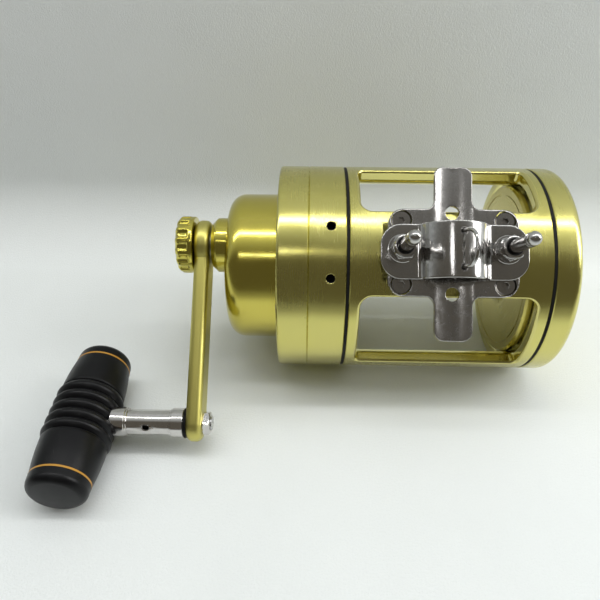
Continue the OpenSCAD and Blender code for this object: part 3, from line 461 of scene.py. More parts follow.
spoolCentre = (spoolAxisAt.y, spoolAxisAt.z)
driveRow = Vector(joints["handle_turn"]["pos_m"])
driveCentre = (driveRow.y, driveRow.z)
knobRow = Vector(joints["grip_spin"]["pos_m"])
champagne = {
    "centre": spoolCentre, "color": (0.63, 0.578, 0.165, 1), "worn": (0.61, 0.565, 0.185, 1),
    "shade": (0.55, 0.50, 0.125, 1), "scratch": (0.78, 0.76, 0.5, 1),
    "roughness": 0.23, "roughSpread": 0.02, "coat": 0.35, "coatRoughness": 0.13, "breakup": 0.0002,
    "fineScale": 3600, "broadScale": 900, "smudgeScale": 26, "markScale": 60, "markThin": 0.004,
    "lineTone": 0.12, "bump": 0.012, "anisotropic": 0.6}
champagneAnodised = turnedMetal("champagneAnodised", champagne)
milled = {"color": (0.67, 0.615, 0.215, 1), "worn": (0.66, 0.605, 0.225, 1), "shade": (0.61, 0.55, 0.17, 1),
          "roughness": 0.17, "roughSpread": 0.02, "bump": 0.012, "lineTone": 0.2, "anisotropic": 0.0}
champagneEdge = turnedMetal("champagneEdge", dict(champagne, **milled))
# Painted shade: the spool's colours are a darker, more saturated copy of the body's, for its place in shade
# inside the frame; its rougher satin finish and deeper turning lines are its own
satinSpoolPaintedShade = {"color": (0.56, 0.49, 0.12, 1), "worn": (0.54, 0.475, 0.135, 1),
              "shade": (0.48, 0.41, 0.095, 1),
              "roughness": 0.27, "lineTone": 0.25, "bump": 0.04}
champagneSpool = turnedMetal("champagneSpool", dict(champagne, **satinSpoolPaintedShade))
polishedGold = {"color": (0.64, 0.56, 0.10, 1), "worn": (0.62, 0.54, 0.105, 1),
                "shade": (0.57, 0.48, 0.07, 1),
                "roughness": 0.19, "roughSpread": 0.025, "coat": 0.35, "coatRoughness": 0.08, "bump": 0.03,
                "lineTone": 0.25}
goldCup = turnedMetal("goldCup", dict(champagne, **polishedGold))
goldDrive = turnedMetal("goldDrive", dict(champagne, **dict(polishedGold, centre=driveCentre, roughness=0.15,
                                                            anisotropic=0.3)))


def brushedMetal(name, sizes):
    # Straight brushing along one direction, with stains, pits and scratches
    material, tree, shader, coords = startMaterial(name, 1.0, sizes["roughness"], sizes.get("coat", 0.0), 0.1)
    grain = addNode(tree, "ShaderNodeMapping", Vector=coords, Rotation=sizes["turn"],
                    Scale=sizes["stretch"]).outputs[0]
    lines = noise(tree, grain, sizes["grainScale"], 3.0, 0.6)
    stain = noise(tree, coords, sizes["stainScale"], 6.0, 0.68, 0.8)
    specks = noise(tree, coords, sizes["speckScale"], 2.0, 0.5)
    marks = scratches(tree, coords, sizes["markScale"], sizes["markThin"], (1, 0.4, 0.7), (0.9, 0.4, 0.3))
    tone = mixColor(tree, ramp(tree, stain, 0.38, 0.62), sizes["color"], sizes["stain"])
    tone = mixColor(tree, ramp(tree, specks, 0.64, 0.72, 0.0, sizes["speckTone"]), tone, sizes["speck"])
    tone = mixColor(tree, math2(tree, "MULTIPLY", marks, 0.6), tone, sizes["scratch"])
    rough = math2(tree, "ADD", ramp(tree, stain, 0.35, 0.65, sizes["roughness"] - 0.05,
                                    sizes["roughness"] + sizes["roughSpread"]),
                  math2(tree, "MULTIPLY", lines, 0.06))
    height = math2(tree, "ADD", math2(tree, "MULTIPLY", lines, 0.5),
                   math2(tree, "MULTIPLY", stain, sizes["stainBump"]))
    height = math2(tree, "SUBTRACT", height, math2(tree, "MULTIPLY", marks, 0.7))
    finishMaterial(tree, shader, tone, height, sizes["bump"], 0.0003, rough)
    return material


steel = {
    "color": (0.50, 0.485, 0.47, 1), "stain": (0.33, 0.32, 0.31, 1), "speck": (0.6, 0.59, 0.58, 1),
    "scratch": (0.7, 0.7, 0.7, 1), "roughness": 0.17, "roughSpread": 0.10,
    "turn": (0, 0, 0), "stretch": (1, 0.06, 0.06), "grainScale": 1400, "stainScale": 260, "speckScale": 1500,
    "speckTone": 0.35, "markScale": 110, "markThin": 0.006, "stainBump": 0.1, "bump": 0.05}
footSteel = brushedMetal("footSteel", steel)
strapSteel = brushedMetal("strapSteel", dict(steel, color=(0.54, 0.53, 0.515, 1), stain=(0.42, 0.41, 0.40, 1),
                                             roughness=0.11, roughSpread=0.06, stainScale=180, speckTone=0.12,
                                             bump=0.03))
screwSteel = brushedMetal("screwSteel", dict(steel, color=(0.44, 0.43, 0.41, 1), stain=(0.33, 0.31, 0.29, 1),
                                             roughness=0.16, roughSpread=0.06, stainScale=420, speckTone=0.12,
                                             bump=0.03))
chromePlate = brushedMetal("chromePlate", dict(steel, color=(0.66, 0.64, 0.62, 1),
                                               stain=(0.58, 0.56, 0.54, 1),
                                               roughness=0.06, roughSpread=0.04, stainScale=70,
                                               speckTone=0.05,
                                               bump=0.015))
bearingSteel = brushedMetal("bearingSteel", dict(steel, color=(0.58, 0.58, 0.59, 1), stain=(0.5, 0.5, 0.5, 1),
                                                 roughness=0.25, roughSpread=0.06, stainScale=140,
                                                 speckTone=0.05,
                                                 bump=0.04))
armGold = {"color": (0.60, 0.545, 0.155, 1), "stain": (0.58, 0.525, 0.15, 1), "speck": (0.7, 0.66, 0.35, 1),
           "scratch": (0.78, 0.75, 0.5, 1), "roughness": 0.38, "roughSpread": 0.04, "coat": 0.1,
           "stretch": (0.08, 1, 0.08), "stainScale": 60, "speckTone": 0.1, "bump": 0.02, "stainBump": 0.05}
goldArm = brushedMetal("goldArm", dict(steel, **armGold))
bronzeBush = brushedMetal("bronzeBush", dict(steel, color=(0.55, 0.36, 0.16, 1), stain=(0.42, 0.27, 0.12, 1),
                                             speck=(0.2, 0.13, 0.07, 1), roughness=0.4, speckTone=0.6))


def mouldedPlastic(name, sizes):
    material, tree, shader, coords = startMaterial(name, 0.0, sizes["roughness"], sizes["coat"],
                                                   sizes["coatRoughness"], 1.3)
    dust = noise(tree, coords, sizes["dustScale"], 5.0, 0.65, 0.4)
    grain = noise(tree, coords, sizes["grainScale"], 2.0, 0.5)
    marks = scratches(tree, coords, sizes["markScale"], 0.008, (1, 0.3, 0.8), (0.3, 0.8, 0.2))
    tone = mixColor(tree, ramp(tree, dust, 0.5, 0.8, 0.0, 0.5), sizes["color"], sizes["dust"])
    tone = mixColor(tree, math2(tree, "MULTIPLY", marks, 0.35), tone, sizes["scratch"])
    rough = ramp(tree, dust, 0.35, 0.75, sizes["roughness"] - 0.05, sizes["roughness"] + 0.12)
    height = math2(tree, "SUBTRACT", grain, math2(tree, "MULTIPLY", marks, 0.8))
    finishMaterial(tree, shader, tone, height, sizes["bump"], 0.0003, rough)
    return material


gripPlastic = {"color": (0.003, 0.003, 0.0036, 1), "dust": (0.009, 0.009, 0.0095, 1),
               "scratch": (0.06, 0.06, 0.06, 1), "roughness": 0.33, "coat": 0.0, "coatRoughness": 0.3,
               "dustScale": 60, "grainScale": 2200, "markScale": 60, "bump": 0.12}
gripBlack = mouldedPlastic("gripBlack", gripPlastic)
sealRubber = mouldedPlastic("sealRubber", dict(gripPlastic, color=(0.008, 0.008, 0.008, 1), roughness=0.6,
                                               coat=0.0,
                                               bump=0.3))
washerNylon = mouldedPlastic("washerNylon", dict(gripPlastic, color=(0.012, 0.012, 0.012, 1), roughness=0.42,
                                                 coat=0.0, bump=0.2))
bandGold = mouldedPlastic("bandGold", dict(gripPlastic, color=(0.46, 0.235, 0.04, 1),
                                           dust=(0.34, 0.19, 0.05, 1),
                                           scratch=(0.8, 0.6, 0.2, 1), roughness=0.36, bump=0.1))
dragCarbon = mouldedPlastic("dragCarbon", dict(gripPlastic, color=(0.035, 0.035, 0.038, 1),
                                               dust=(0.09, 0.09, 0.09, 1), roughness=0.5, coat=0.0,
                                               grainScale=900,
                                               bump=0.6))
print("materials made")


# One-piece frame with its windows
frameSizes = {
    "length": 99.2, "wall": 8.7, "ringLeft": 5.7, "ringRight": 6.0, "stripHalf": 22.8, "frontPillar": 57.5,
    "rearPillar": 70.5, "pillarWidth": 22.5, "stripCorner": 6.0, "pillarCorner": 3.0, "chamfer": 1.5,
    "innerRound": 3.8, "edge": 0.45, "seatBelow": 2.0, "seatHalf": 31.85}


def makeDrum(shape, x0, x1, rOut, rIn, edge, openings, seam, segments=150, spacing=3.2):
    # A tube about the spool axis with chamfered openings, laid out flat as (x, angle * rOut)
    def point(x, angle, r):
        return Vector((x, r * math.sin(angle), r * math.cos(angle)))

    def angleAt(opening, w, r):
        if opening["parallel"]:
            return opening["middle"] + math.asin(max(-1, min(1, w / r)))
        return opening["middle"] + w / rOut

    turns = [seam + 2 * math.pi * i / segments for i in range(segments + 1)]
    lengthSteps, wallSteps = 24, 12
    chamferCurve = ((1, 0), (0.62, 0.14), (0.3, 0.42), (0.08, 0.75), (0, 1))
    xs = [x0 + edge + (x1 - x0 - 2 * edge) * k / lengthSteps for k in range(lengthSteps + 1)]
    for r, inner in ((rOut, False), (rIn, True)):
        outer = [Vector((x0 + edge, t * rOut)) for t in turns[::-1]]
        outer += [Vector((x, turns[0] * rOut)) for x in xs[1:]]
        outer += [Vector((x1 - edge, t * rOut)) for t in turns[1:]]
        outer += [Vector((x, turns[-1] * rOut)) for x in xs[-2:0:-1]]
        holes = []
        for opening in openings:
            if inner and opening.get("depth"):
                continue
            grow = opening["inner"] if inner else opening["chamfer"]
            holes.append([Vector((p.x, angleAt(opening, p.y, r) * rOut)) for p in opening["outline"](grow)])
        addFill(shape, outer, holes, spacing, lambda x, s, r=r: point(x, s / rOut, r))
    for opening in openings:
        loops = []
        chamfer = opening["chamfer"]
        for grow, r in ((chamfer * wide, rOut - chamfer * deep) for wide, deep in chamferCurve):
            loops.append([point(p.x, angleAt(opening, p.y, r), r) for p in opening["outline"](grow)])
        shape.strips(loops, 1)
        walls = [loops[-1]]
        if opening.get("depth"):
            r = rOut - opening["depth"]
            walls.append([point(p.x, angleAt(opening, p.y, r), r) for p in opening["outline"](0)])
            shape.strips(walls, opening.get("slot", 0))
            shape.fan(walls[-1], opening.get("slot", 0))
            continue
        size = opening["inner"]
        for k in range(wallSteps + 1):
            t = math.pi / 2 * k / wallSteps
            r = rIn + size * (1 - math.sin(t))
            outline = opening["outline"](size * (1 - math.cos(t)))
            walls.append([point(p.x, angleAt(opening, p.y, r), r) for p in outline])
        shape.strips(walls, 1)
    for x, way in ((x0, 1), (x1, -1)):
        ends = [(x + way * edge, rOut), (x, rOut - edge), (x, rIn + edge), (x + way * edge, rIn)]
        shape.strips([[point(px, t, r) for t in turns[:-1]] for px, r in ends], 0)


def windowOpening(fromAngle, toAngle, low, high, parallel=True):
    s = frameSizes
    middle = math.radians((fromAngle + toAngle) / 2)
    half = math.radians(abs(toAngle - fromAngle) / 2)
    reach = bodyR * math.sin(half) if parallel else bodyR * half
    x0, x1 = s["ringLeft"], s["length"] - s["ringRight"]
    return {"middle": middle, "parallel": parallel, "chamfer": s["chamfer"], "inner": s["innerRound"],
            "outline": lambda grow: roundedRect(x0, x1, -reach, reach, low, high, 3.0, grow)}


def makeFrame():
    s = frameSizes
    rIn = bodyR - s["wall"]
    openings = [
        windowOpening(s["stripHalf"], s["frontPillar"], s["stripCorner"], s["pillarCorner"]),
        windowOpening(-s["rearPillar"], -s["stripHalf"], s["pillarCorner"], s["stripCorner"]),
        windowOpening(s["frontPillar"] + s["pillarWidth"], 360 - s["rearPillar"] - s["pillarWidth"],
                      s["stripCorner"], s["stripCorner"], False)]
    shape = Shape()
    seam = math.radians(-s["rearPillar"] - s["pillarWidth"] / 2)
    makeDrum(shape, 0, s["length"], bodyR, rIn, s["edge"], openings, seam)
    obj = addObject("frameBody", meshFrom("frameBody", shape, reelAxes, 14),
                    [champagneAnodised, champagneEdge])
    middle = s["length"] / 2
    seat = boxShape((middle - s["seatHalf"], -bodyR, bodyR - s["seatBelow"]),
                    (middle + s["seatHalf"], bodyR, bodyR + 5))
    cutAway(obj, [(seat, reelAxes)])
    finishPiece(obj, "reel_body", ["frame"])


makeFrame()
print("frame made")

# Gear side: side plate, gearbox ring, cup and collar
sideSizes = {
    "plateX": (-20.5, -1.6), "ringX": (-36.6, -20.5), "spigotR": 55.28, "bayR": 49.0, "webX": -5.8,
    "lap": 0.01,
    "joint": 0.45, "ringEdge": 1.6, "ringBoreR": 41.52, "ringFaceT": 4.8,
    "holeR": 2.25, "holeDepth": 6.0, "holeAngle": 13.2, "holeX": -9.4, "holeChamfer": 0.4}


def makeSidePlate():
    s = sideSizes
    x0, x1 = s["plateX"]
    middle = Vector((s["holeX"], 0))
    rim = circleLoop(s["holeX"], 0, s["holeR"], 32)

    def hole(angle):
        return {"middle": math.radians(angle), "parallel": True, "chamfer": s["holeChamfer"], "inner": 0,
                "depth": s["holeDepth"], "slot": 2,
                "outline": lambda grow: [p + (p - middle).normalized() * grow for p in rim]}

    shape = Shape()
    makeDrum(shape, x0, x1, bodyR, s["bayR"], s["joint"], [hole(s["holeAngle"]), hole(-s["holeAngle"])],
             math.radians(-180))
    makePiece("sidePlateShell", shape, [champagneAnodised, champagneEdge, sealRubber], "reel_body",
              ["side_plate"])
    inner = Shape()
    x2 = x1 + s["lap"]
    path = [(s["webX"], 0), (s["webX"], s["bayR"]), (x2, s["bayR"]), (x2, s["spigotR"]), (0, s["spigotR"]),
            (0, 0)]
    lathe(inner, roundedPath(path, closed=False), closed=False)
    makePiece("sidePlateWeb", inner, [champagneAnodised], "reel_body")


def hexLoop(r, count=8):
    # Hexagon with count points on each side, radius r to the corners
    loop = []
    for k in range(6):
        a = Vector((r * math.cos(math.pi / 3 * k), r * math.sin(math.pi / 3 * k)))
        b = Vector((r * math.cos(math.pi / 3 * (k + 1)), r * math.sin(math.pi / 3 * (k + 1))))
        loop += [a + (b - a) * i / count for i in range(count)]
    return loop


def screwMesh(name, sizes):
    # Countersunk screw with a hexagon socket, its head at the origin facing +z
    headR, shankR, socketR = sizes["headR"], sizes["shankR"], sizes["socketR"]
    shape = Shape()
    rim = sizes.get("rim", 0.25)
    socket = hexLoop(socketR)
    top = circleLoop(0, 0, headR - rim, 48)
    lead = growLoop(socket, 0.15)
    addFill(shape, top, [lead], 1.2, lambda x, y: Vector((x, y, 0)))
    shape.strips([[Vector((p.x, p.y, 0)) for p in lead], [Vector((p.x, p.y, -0.15)) for p in socket],
                  [Vector((p.x, p.y, -sizes["socketDepth"])) for p in socket]])
    shape.fan([Vector((p.x, p.y, -sizes["socketDepth"])) for p in socket])
    profile = [(headR - rim, 0), (headR, -rim), (shankR, -sizes["headT"]), (shankR, -sizes["length"])]
    rings = [[Vector((p.x, p.y, z)) for p in circleLoop(0, 0, r, 48)] for r, z in profile]
    shape.strips(rings)
    shape.fan(rings[-1])
    return meshFrom(name, shape, Matrix.Identity(4))


def patternTree(name, inputs, kinds, links):
    # A tree with named inputs (key: label, kind, usual value). Its links run from node and output to node and
    # input. Whatever reaches "real" is realized and given the metal
    tree = bpy.data.node_groups.new(name, "GeometryNodeTree")
    ids = {}
    for key, (label, kind, usual) in dict(inputs, material=("Metal", "Material", None)).items():
        socket = tree.interface.new_socket(name=label, in_out="INPUT", socket_type="NodeSocket" + kind)
        if usual is not None:
            socket.default_value = usual
        ids[key] = socket.identifier
    tree.interface.new_socket(name="Geometry", in_out="OUTPUT", socket_type="NodeSocketGeometry")
    kinds = dict(kinds, real="RealizeInstances", metal="SetMaterial")
    made = {key: tree.nodes.new("GeometryNode" + kind) for key, kind in kinds.items()}
    made.update(start=tree.nodes.new("NodeGroupInput"), end=tree.nodes.new("NodeGroupOutput"))
    links = links + [("real", "Geometry", "metal", "Geometry"), ("start", "Metal", "metal", "Material"),
                     ("metal", "Geometry", "end", "Geometry")]
    for giver, output, taker, entry in links:
        tree.links.new(made[giver].outputs[output], made[taker].inputs[entry])
    return tree, ids, made


def screwTree(name, inputs, pattern, links):
    # Copies of one screw on the points of a mesh in the xy plane
    kinds = {"points": pattern, "info": "ObjectInfo", "copies": "InstanceOnPoints"}
    links = [("start", label, "points", entry) for label, entry in links]
    links += [("start", "Screw", "info", "Object"), ("points", "Mesh", "copies", "Points"),
              ("info", "Geometry", "copies", "Instance"), ("copies", "Instances", "real", "Geometry")]
    return patternTree(name, dict(inputs, screw=("Screw", "Object", None)), kinds, links)[:2]


ringTree, ringIds = screwTree(
    "ringOfScrews", {"count": ("Count", "Int", 6), "radius": ("Circle radius", "Float", 10.0)},
    "MeshCircle", [("Count", "Vertices"), ("Circle radius", "Radius")])
gridTree, gridIds = screwTree(
    "gridOfScrews",
    {"spanX": ("Span x", "Float", 50.0), "spanY": ("Span y", "Float", 30.0), "countX": ("Count x", "Int", 2),
     "countY": ("Count y", "Int", 2)},
    "MeshGrid", [("Span x", "Size X"), ("Span y", "Size Y"), ("Count x", "Vertices X"),
                 ("Count y", "Vertices Y")])


def placeCopies(name, tree, ids, values, place, material, body, replaced):
    obj = addObject(name, bpy.data.meshes.new(name), [material])
    modifier = obj.modifiers.new("copies", "NODES")
    modifier.node_group = tree
    for key, value in values.items():
        modifier[ids[key]] = value
    modifier[ids["material"]] = material
    settle(obj)
    obj.data.transform(place)
    if not len(obj.data.materials):
        obj.data.materials.append(material)
    return finishPiece(obj, body, replaced, False)


def template(name, mesh):
    obj = bpy.data.objects.new(name, mesh)
    scene.collection.objects.link(obj)
    return obj


def makeGearboxRing():
    s = sideSizes
    x0, x1 = s["ringX"]
    back = x0 + s["ringFaceT"]
    path = [(x0, s["ringBoreR"]), (x0, bodyR, s["ringEdge"]), (x1, bodyR, -s["joint"]), (x1, s["bayR"]),
            (back, s["bayR"]), (back, s["ringBoreR"])]
    shape = Shape()
    lathe(shape, roundedPath(path, 5))
    makePiece("gearboxRingShell", shape, [champagneAnodised], "reel_body",
              ["gearbox_ring"])


gearScrews = {"count": 6, "circleR": 53.15, "start": 30, "headR": 3.3, "shankR": 2.0, "socketR": 1.5,
              "socketDepth": 1.4, "headT": 1.5, "length": 3.0, "proud": 0.12}


def ringPlace(x, way, start):
    # Puts a set from the xy plane on a face across the spool axis, facing -x or +x
    spin = Matrix.Rotation(math.radians(start), 4, "X")
    face = Matrix.Rotation(math.radians(90 * way), 4, "Y")
    return reelAxes @ Matrix.Translation((x, 0, 0)) @ spin @ face


def ringScrews(name, circleR, x, way, start, replaced):
    values = {"screw": gearScrew, "count": gearScrews["count"], "radius": circleR}
    placeCopies(name, ringTree, ringIds, values, ringPlace(x, way, start), screwSteel, "reel_body",
                [replaced])


makeSidePlate()
makeGearboxRing()
gearScrew = template("gearScrewPattern", screwMesh("gearScrewPattern", gearScrews))
ringScrews("gearSideScrews", gearScrews["circleR"], sideSizes["ringX"][0] - gearScrews["proud"], -1,
           gearScrews["start"], "gear_side_screws")
print("side plate, gearbox ring and their screws made")

cupSizes = {"x": (-65.3, -31.8), "r": 41.5, "shoulder": 9.0, "wall": 3.0, "faceT": 5, "innerRound": 6,
            "collarX": (-73.0, -62.8), "collarR": 15.0, "collarStep": 0.6, "collarChamfer": 2.2,
            "boreR": 10.5}


def makeCup():
    s = cupSizes
    x0, x1 = s["x"]
    shape = Shape()
    back, innerR = x0 + s["faceT"], s["r"] - s["wall"]
    corners = [(x0, 0), (x0, s["r"], s["shoulder"]), (x1, s["r"]), (x1, innerR),
               (back, innerR, s["innerRound"]),
               (back, 0)]
    lathe(shape, roundedPath(corners, 14, False), closed=False)
    makePiece("gearCupShell", shape, [goldCup], "reel_body", ["gear_cup"])
    c0, c1 = s["collarX"]
    collar = Shape()
    stepR = s["collarR"] - s["collarStep"]
    corners = [(c0, s["boreR"]), (c0, stepR, -s["collarChamfer"]), (c0 + 2.6, stepR, 0.25),
               (c0 + 2.9, s["collarR"], 0.25),
               (c1, s["collarR"]), (c1, s["boreR"])]
    lathe(collar, roundedPath(corners, 4), (driveAt.y, driveAt.z), 96)
    makePiece("driveCollarTurned", collar, [goldDrive], "reel_body", ["drive_collar"])


makeCup()
print("gear cup and collar made")

# Plain side: end plate and bearing cap
endSizes = {"x": (100.8, 114.2), "edge": 4.6, "joint": 0.4, "spigotR": 55.28, "bayR": 48.8, "webT": 6.0,
            "capR": 15.0, "capT": 2.0, "capEdge": 0.7, "slotW": 2.5, "slotDepth": 1.0, "screwSink": 2.4,
            "sinkR": 3.62, "circleR": 52.4}


def makeEndPlate():
    s = endSizes
    x0, x1 = s["x"]
    shape = Shape()
    back, seat = x1 - s["webT"], frameSizes["length"]
    corners = [(x1, 0), (x1, bodyR, s["edge"]), (x0, bodyR, -s["joint"]), (x0, s["spigotR"]),
               (seat, s["spigotR"]),
               (seat, s["bayR"]), (back, s["bayR"]), (back, 0)]
    lathe(shape, roundedPath(corners, 12, False), closed=False)
    obj = addObject("endPlateTurned", meshFrom("endPlateTurned", shape, reelAxes), [champagneAnodised])
    sinks = []
    for k in range(6):
        turn = reelAxes @ Matrix.Rotation(math.radians(60 * k), 4, "X")
        place = turn @ Matrix.Translation((0, 0, s["circleR"]))
        sinks.append((rodShape(x1 - s["screwSink"], x1 + 2, s["sinkR"], 32), place))
    cutAway(obj, sinks)
    finishPiece(obj, "reel_body", ["end_plate"])
    cap = Shape()
    corners = [(x1, 0), (x1, s["capR"]), (x1 + s["capT"], s["capR"], s["capEdge"]), (x1 + s["capT"], 0)]
    lathe(cap, roundedPath(corners, 5, False), segments=96, closed=False)
    cover = addObject("bearingCapTurned", meshFrom("bearingCapTurned", cap, reelAxes), [goldCup])
    half = s["slotW"] / 2
    cutAway(cover, [(boxShape((x1 + s["capT"] - s["slotDepth"], -half, -s["capR"] - 1),
                              (x1 + s["capT"] + 1, half, s["capR"] + 1)), reelAxes)])
    finishPiece(cover, "reel_body", ["bearing_cap"])


makeEndPlate()
ringScrews("endPlateScrewSet", endSizes["circleR"],
           endSizes["x"][1] - endSizes["screwSink"] + gearScrews["proud"],
           1, 0, "end_plate_screws")
print("end plate made")

# Spool
spoolSizes = {"x": (1.8, 94.2), "flangeR": 48.0, "flangeT": 3.5, "arborR": 14.5, "flare": 6.0,
              "grooveR": 43.0,
              "grooveW": 0.7, "grooveDepth": 0.6, "lip": 1.1, "rimRound": 0.4, "shaftR": 4.0}


def makeSpool():
    s = spoolSizes
    x0, x1 = s["x"]
    in0, in1 = x0 + s["flangeT"], x1 - s["flangeT"]
    g0, g1 = s["grooveR"] - s["grooveW"] / 2, s["grooveR"] + s["grooveW"] / 2
    corners = [(x0, s["shaftR"]), (x0, s["flangeR"], s["rimRound"]), (in0, s["flangeR"], -s["lip"]),
               (in0, g1),
               (in0 - s["grooveDepth"], g1), (in0 - s["grooveDepth"], g0), (in0, g0),
               (in0, s["arborR"], s["flare"]), (in1, s["arborR"], s["flare"]), (in1, g0),
               (in1 + s["grooveDepth"], g0), (in1 + s["grooveDepth"], g1), (in1, g1),
               (in1, s["flangeR"], -s["lip"]), (x1, s["flangeR"], s["rimRound"]), (x1, s["shaftR"])]
    shape = Shape()
    lathe(shape, roundedPath(corners, 8), segments=144)
    makePiece("spoolTurned", shape, [champagneSpool], "spool_set", ["spool"])


makeSpool()
print("spool made")

# Foot with its socket screws
footSizes = {
    "x": 49.6, "seat": 55.5, "top": 59.5, "plateW": 63.4, "plateD": 42.8, "length": 85.6, "armW": 18.4,
    "corner": 8.0, "flareW": 26.2, "flareLen": 4.5, "tipRound": 5.0, "troughR": 19.0, "armUnder": 3.0,
    "armFrom": 25.9, "thinnest": 2.4, "softRun": 1.6, "softDip": 0.12, "screwSink": 0.25, "edge": 0.7,
    "screwSpan": 50.2, "screwPitch": 31.2, "sinkR": 5.12, "studR": 3.52, "studV": 1.3, "holeR": 3.35,
    "holeAt": 20.0}
footScrew = {"rim": 0.45, "headR": 4.72, "shankR": 2.5, "socketR": 1.75, "socketDepth": 1.8, "headT": 2.6,
             "length": 6.0}


def footOutline(s):
    rim = []
    hw, hd, ha, hf, hl = s["plateW"] / 2, s["plateD"] / 2, s["armW"] / 2, s["flareW"] / 2, s["length"] / 2
    for t in quarter(8):
        rim.append(Vector((hw - s["corner"] + s["corner"] * math.cos(t),
                           hd - s["corner"] + s["corner"] * math.sin(t))))
    rim.append(Vector(((hw - s["corner"] + hf) / 2, hd)))
    rim.append(Vector((hf + 0.8, hd)))
    for t in quarter(9, 1):
        rim.append(Vector((hf + (ha - hf) * math.sin(t), hd + s["flareLen"] * (1 - math.cos(t)))))
    tip = s["tipRound"]
    for k in range(1, 6):
        rim.append(Vector((ha, hd + s["flareLen"] + (hl - tip - hd - s["flareLen"]) * k / 6)))
    for t in quarter(8):
        rim.append(Vector((ha - tip + tip * math.cos(t), hl - tip + tip * math.sin(t))))
    rim.append(Vector(((ha - tip) / 2, hl)))
    upper = rim + [Vector((-p.x, p.y)) for p in reversed(rim)]
    return upper + [Vector((-p.x, -p.y)) for p in upper]


def makeFoot():
    s = footSizes
    half = s["armW"] / 2
    troughU = s["top"] - (s["troughR"] - math.sqrt(s["troughR"] ** 2 - half ** 2))
    centreU = troughU + s["troughR"]
    underR = s["troughR"] + s["armUnder"]

    def place(a, b, top, depth):
        inTrough = centreU - math.sqrt(s["troughR"] ** 2 - min(abs(a), half) ** 2)
        upper = s["top"] if abs(a) >= half else inTrough
        soften = max(0.0, 1 - abs(abs(a) - half) / s["softRun"])
        upper -= s["softDip"] * soften
        edge = s["plateD"] / 2
        along = min(1.0, max(0.0, (abs(b) - edge + 1.0) / (s["armFrom"] - edge + 1.0)))
        under = centreU - math.sqrt(underR ** 2 - min(abs(a), half + 4) ** 2)
        lower = s["seat"] + (min(under, upper - s["thinnest"]) - s["seat"]) * along * along * (3 - 2 * along)
        return Vector((s["x"] + a, b, upper - depth if top else lower + depth))

    corners = [(x * s["screwSpan"] / 2, y * s["screwPitch"] / 2) for x in (-1, 1) for y in (-1, 1)]
    holes = [circleLoop(x, y, s["sinkR"], 44) for x, y in corners]
    holes += [circleLoop(0, y * s["holeAt"], s["holeR"], 36) for y in (-1, 1)]
    holes += [circleLoop(x * s["screwSpan"] / 2, s["studV"], s["studR"], 36) for x in (-1, 1)]
    shape = Shape()
    slab(shape, footOutline(s), holes, s["edge"], place, 1.5, 5, 0.3)
    makePiece("footPlate", shape, [footSteel], "reel_body", ["foot"], sharp=38)
    screw = template("footScrewPattern", screwMesh("footScrewPattern", footScrew))
    place = reelAxes @ Matrix.Translation((s["x"], 0, s["top"] - s["screwSink"]))
    values = {"screw": screw, "spanX": s["screwSpan"], "spanY": s["screwPitch"]}
    placeCopies("footScrewSet", gridTree, gridIds, values, place, screwSteel, "reel_body",
                ["foot_screws"])
    bpy.data.objects.remove(screw)


makeFoot()
print("foot made")

# Rod clamp: strap, lanyard loop, studs and nuts
strapSizes = {"x": 49.6, "under": 59.5, "t": 2.8, "length": 71.0, "w": 26.8, "earR": 10.2, "rise": 10.9,
              "archHalf": 16.3, "studAt": 25.1, "studV": 1.3, "studR": 3.8, "edge": 0.6, "pathSteps": 240,
              "smoothing": 14}
loopSizes = {"x": 51.2, "half": 8.4, "rise": 9.0, "bend": 6.4, "lean": 22.0, "wire": 0.95, "dimple": 1.55,
             "sink": 3.2, "sides": 24, "points": 70}


def strapPath(s):
    # Middle of the strap's top face, as (x from the rod, height), with smooth bends
    top = s["under"] + s["t"]
    r = (s["archHalf"] ** 2 + s["rise"] ** 2) / (2 * s["rise"])
    centre = top + s["rise"] - r
    slope = math.acos((r - s["rise"]) / r)
    points = []
    for k in range(41):
        t = slope * (k / 20 - 1)
        points.append(Vector((r * math.sin(t), centre + r * math.cos(t))))
    left = [Vector((-s["length"] / 2 + (s["length"] / 2 - s["archHalf"]) * k / 12, top)) for k in range(12)]
    right = [Vector((-p.x, p.y)) for p in reversed(left)]
    raw = left + points + right
    steps = [0.0]
    for a, b in zip(raw, raw[1:]):
        steps.append(steps[-1] + (b - a).length)
    length = steps[-1]
    count = s["pathSteps"]
    even = []
    k = 0
    for i in range(count + 1):
        d = length * i / count
        while k < len(steps) - 2 and steps[k + 1] < d:
            k += 1
        f = (d - steps[k]) / (steps[k + 1] - steps[k])
        even.append(raw[k].lerp(raw[k + 1], f))
    for _ in range(s["smoothing"]):
        softer = [(even[i - 1] + even[i] * 2 + even[i + 1]) / 4 for i in range(1, count)]
        even = [even[0]] + softer + [even[-1]]
    return even, length


def makeStrap():
    s = strapSizes
    path, length = strapPath(s)
    count = len(path) - 1

    def place(a, b, top, depth):
        f = min(count - 1e-6, max(0.0, (a / length + 0.5) * count))
        i = int(f)
        p = path[i].lerp(path[i + 1], f - i)
        lo, hi = max(0, i - 2), min(count, i + 3)
        along = (path[hi] - path[lo]).normalized()
        out = Vector((-along.y, along.x))
        p = p - out * (depth if top else s["t"] - depth)
        return Vector((s["x"] + p.x, b, p.y))

    studAlong = length / 2 - (s["length"] / 2 - s["studAt"])
    outline = roundedRect(-length / 2, length / 2, -s["w"] / 2, s["w"] / 2, s["earR"], s["earR"], 1.2, 0, 12)
    holes = [circleLoop(x * studAlong, s["studV"], s["studR"], 40) for x in (-1, 1)]
    wireAt, wireHalf = loopSizes["x"] - s["x"], loopSizes["half"]
    holes += [circleLoop(wireAt, y * wireHalf, loopSizes["dimple"], 28) for y in (-1, 1)]
    shape = Shape()
    slab(shape, outline, holes, s["edge"], place, 1.1, 5, 0.35)
    makePiece("clampStrap", shape, [strapSteel], "rod_clamp", ["clamp_strap"], sharp=38)


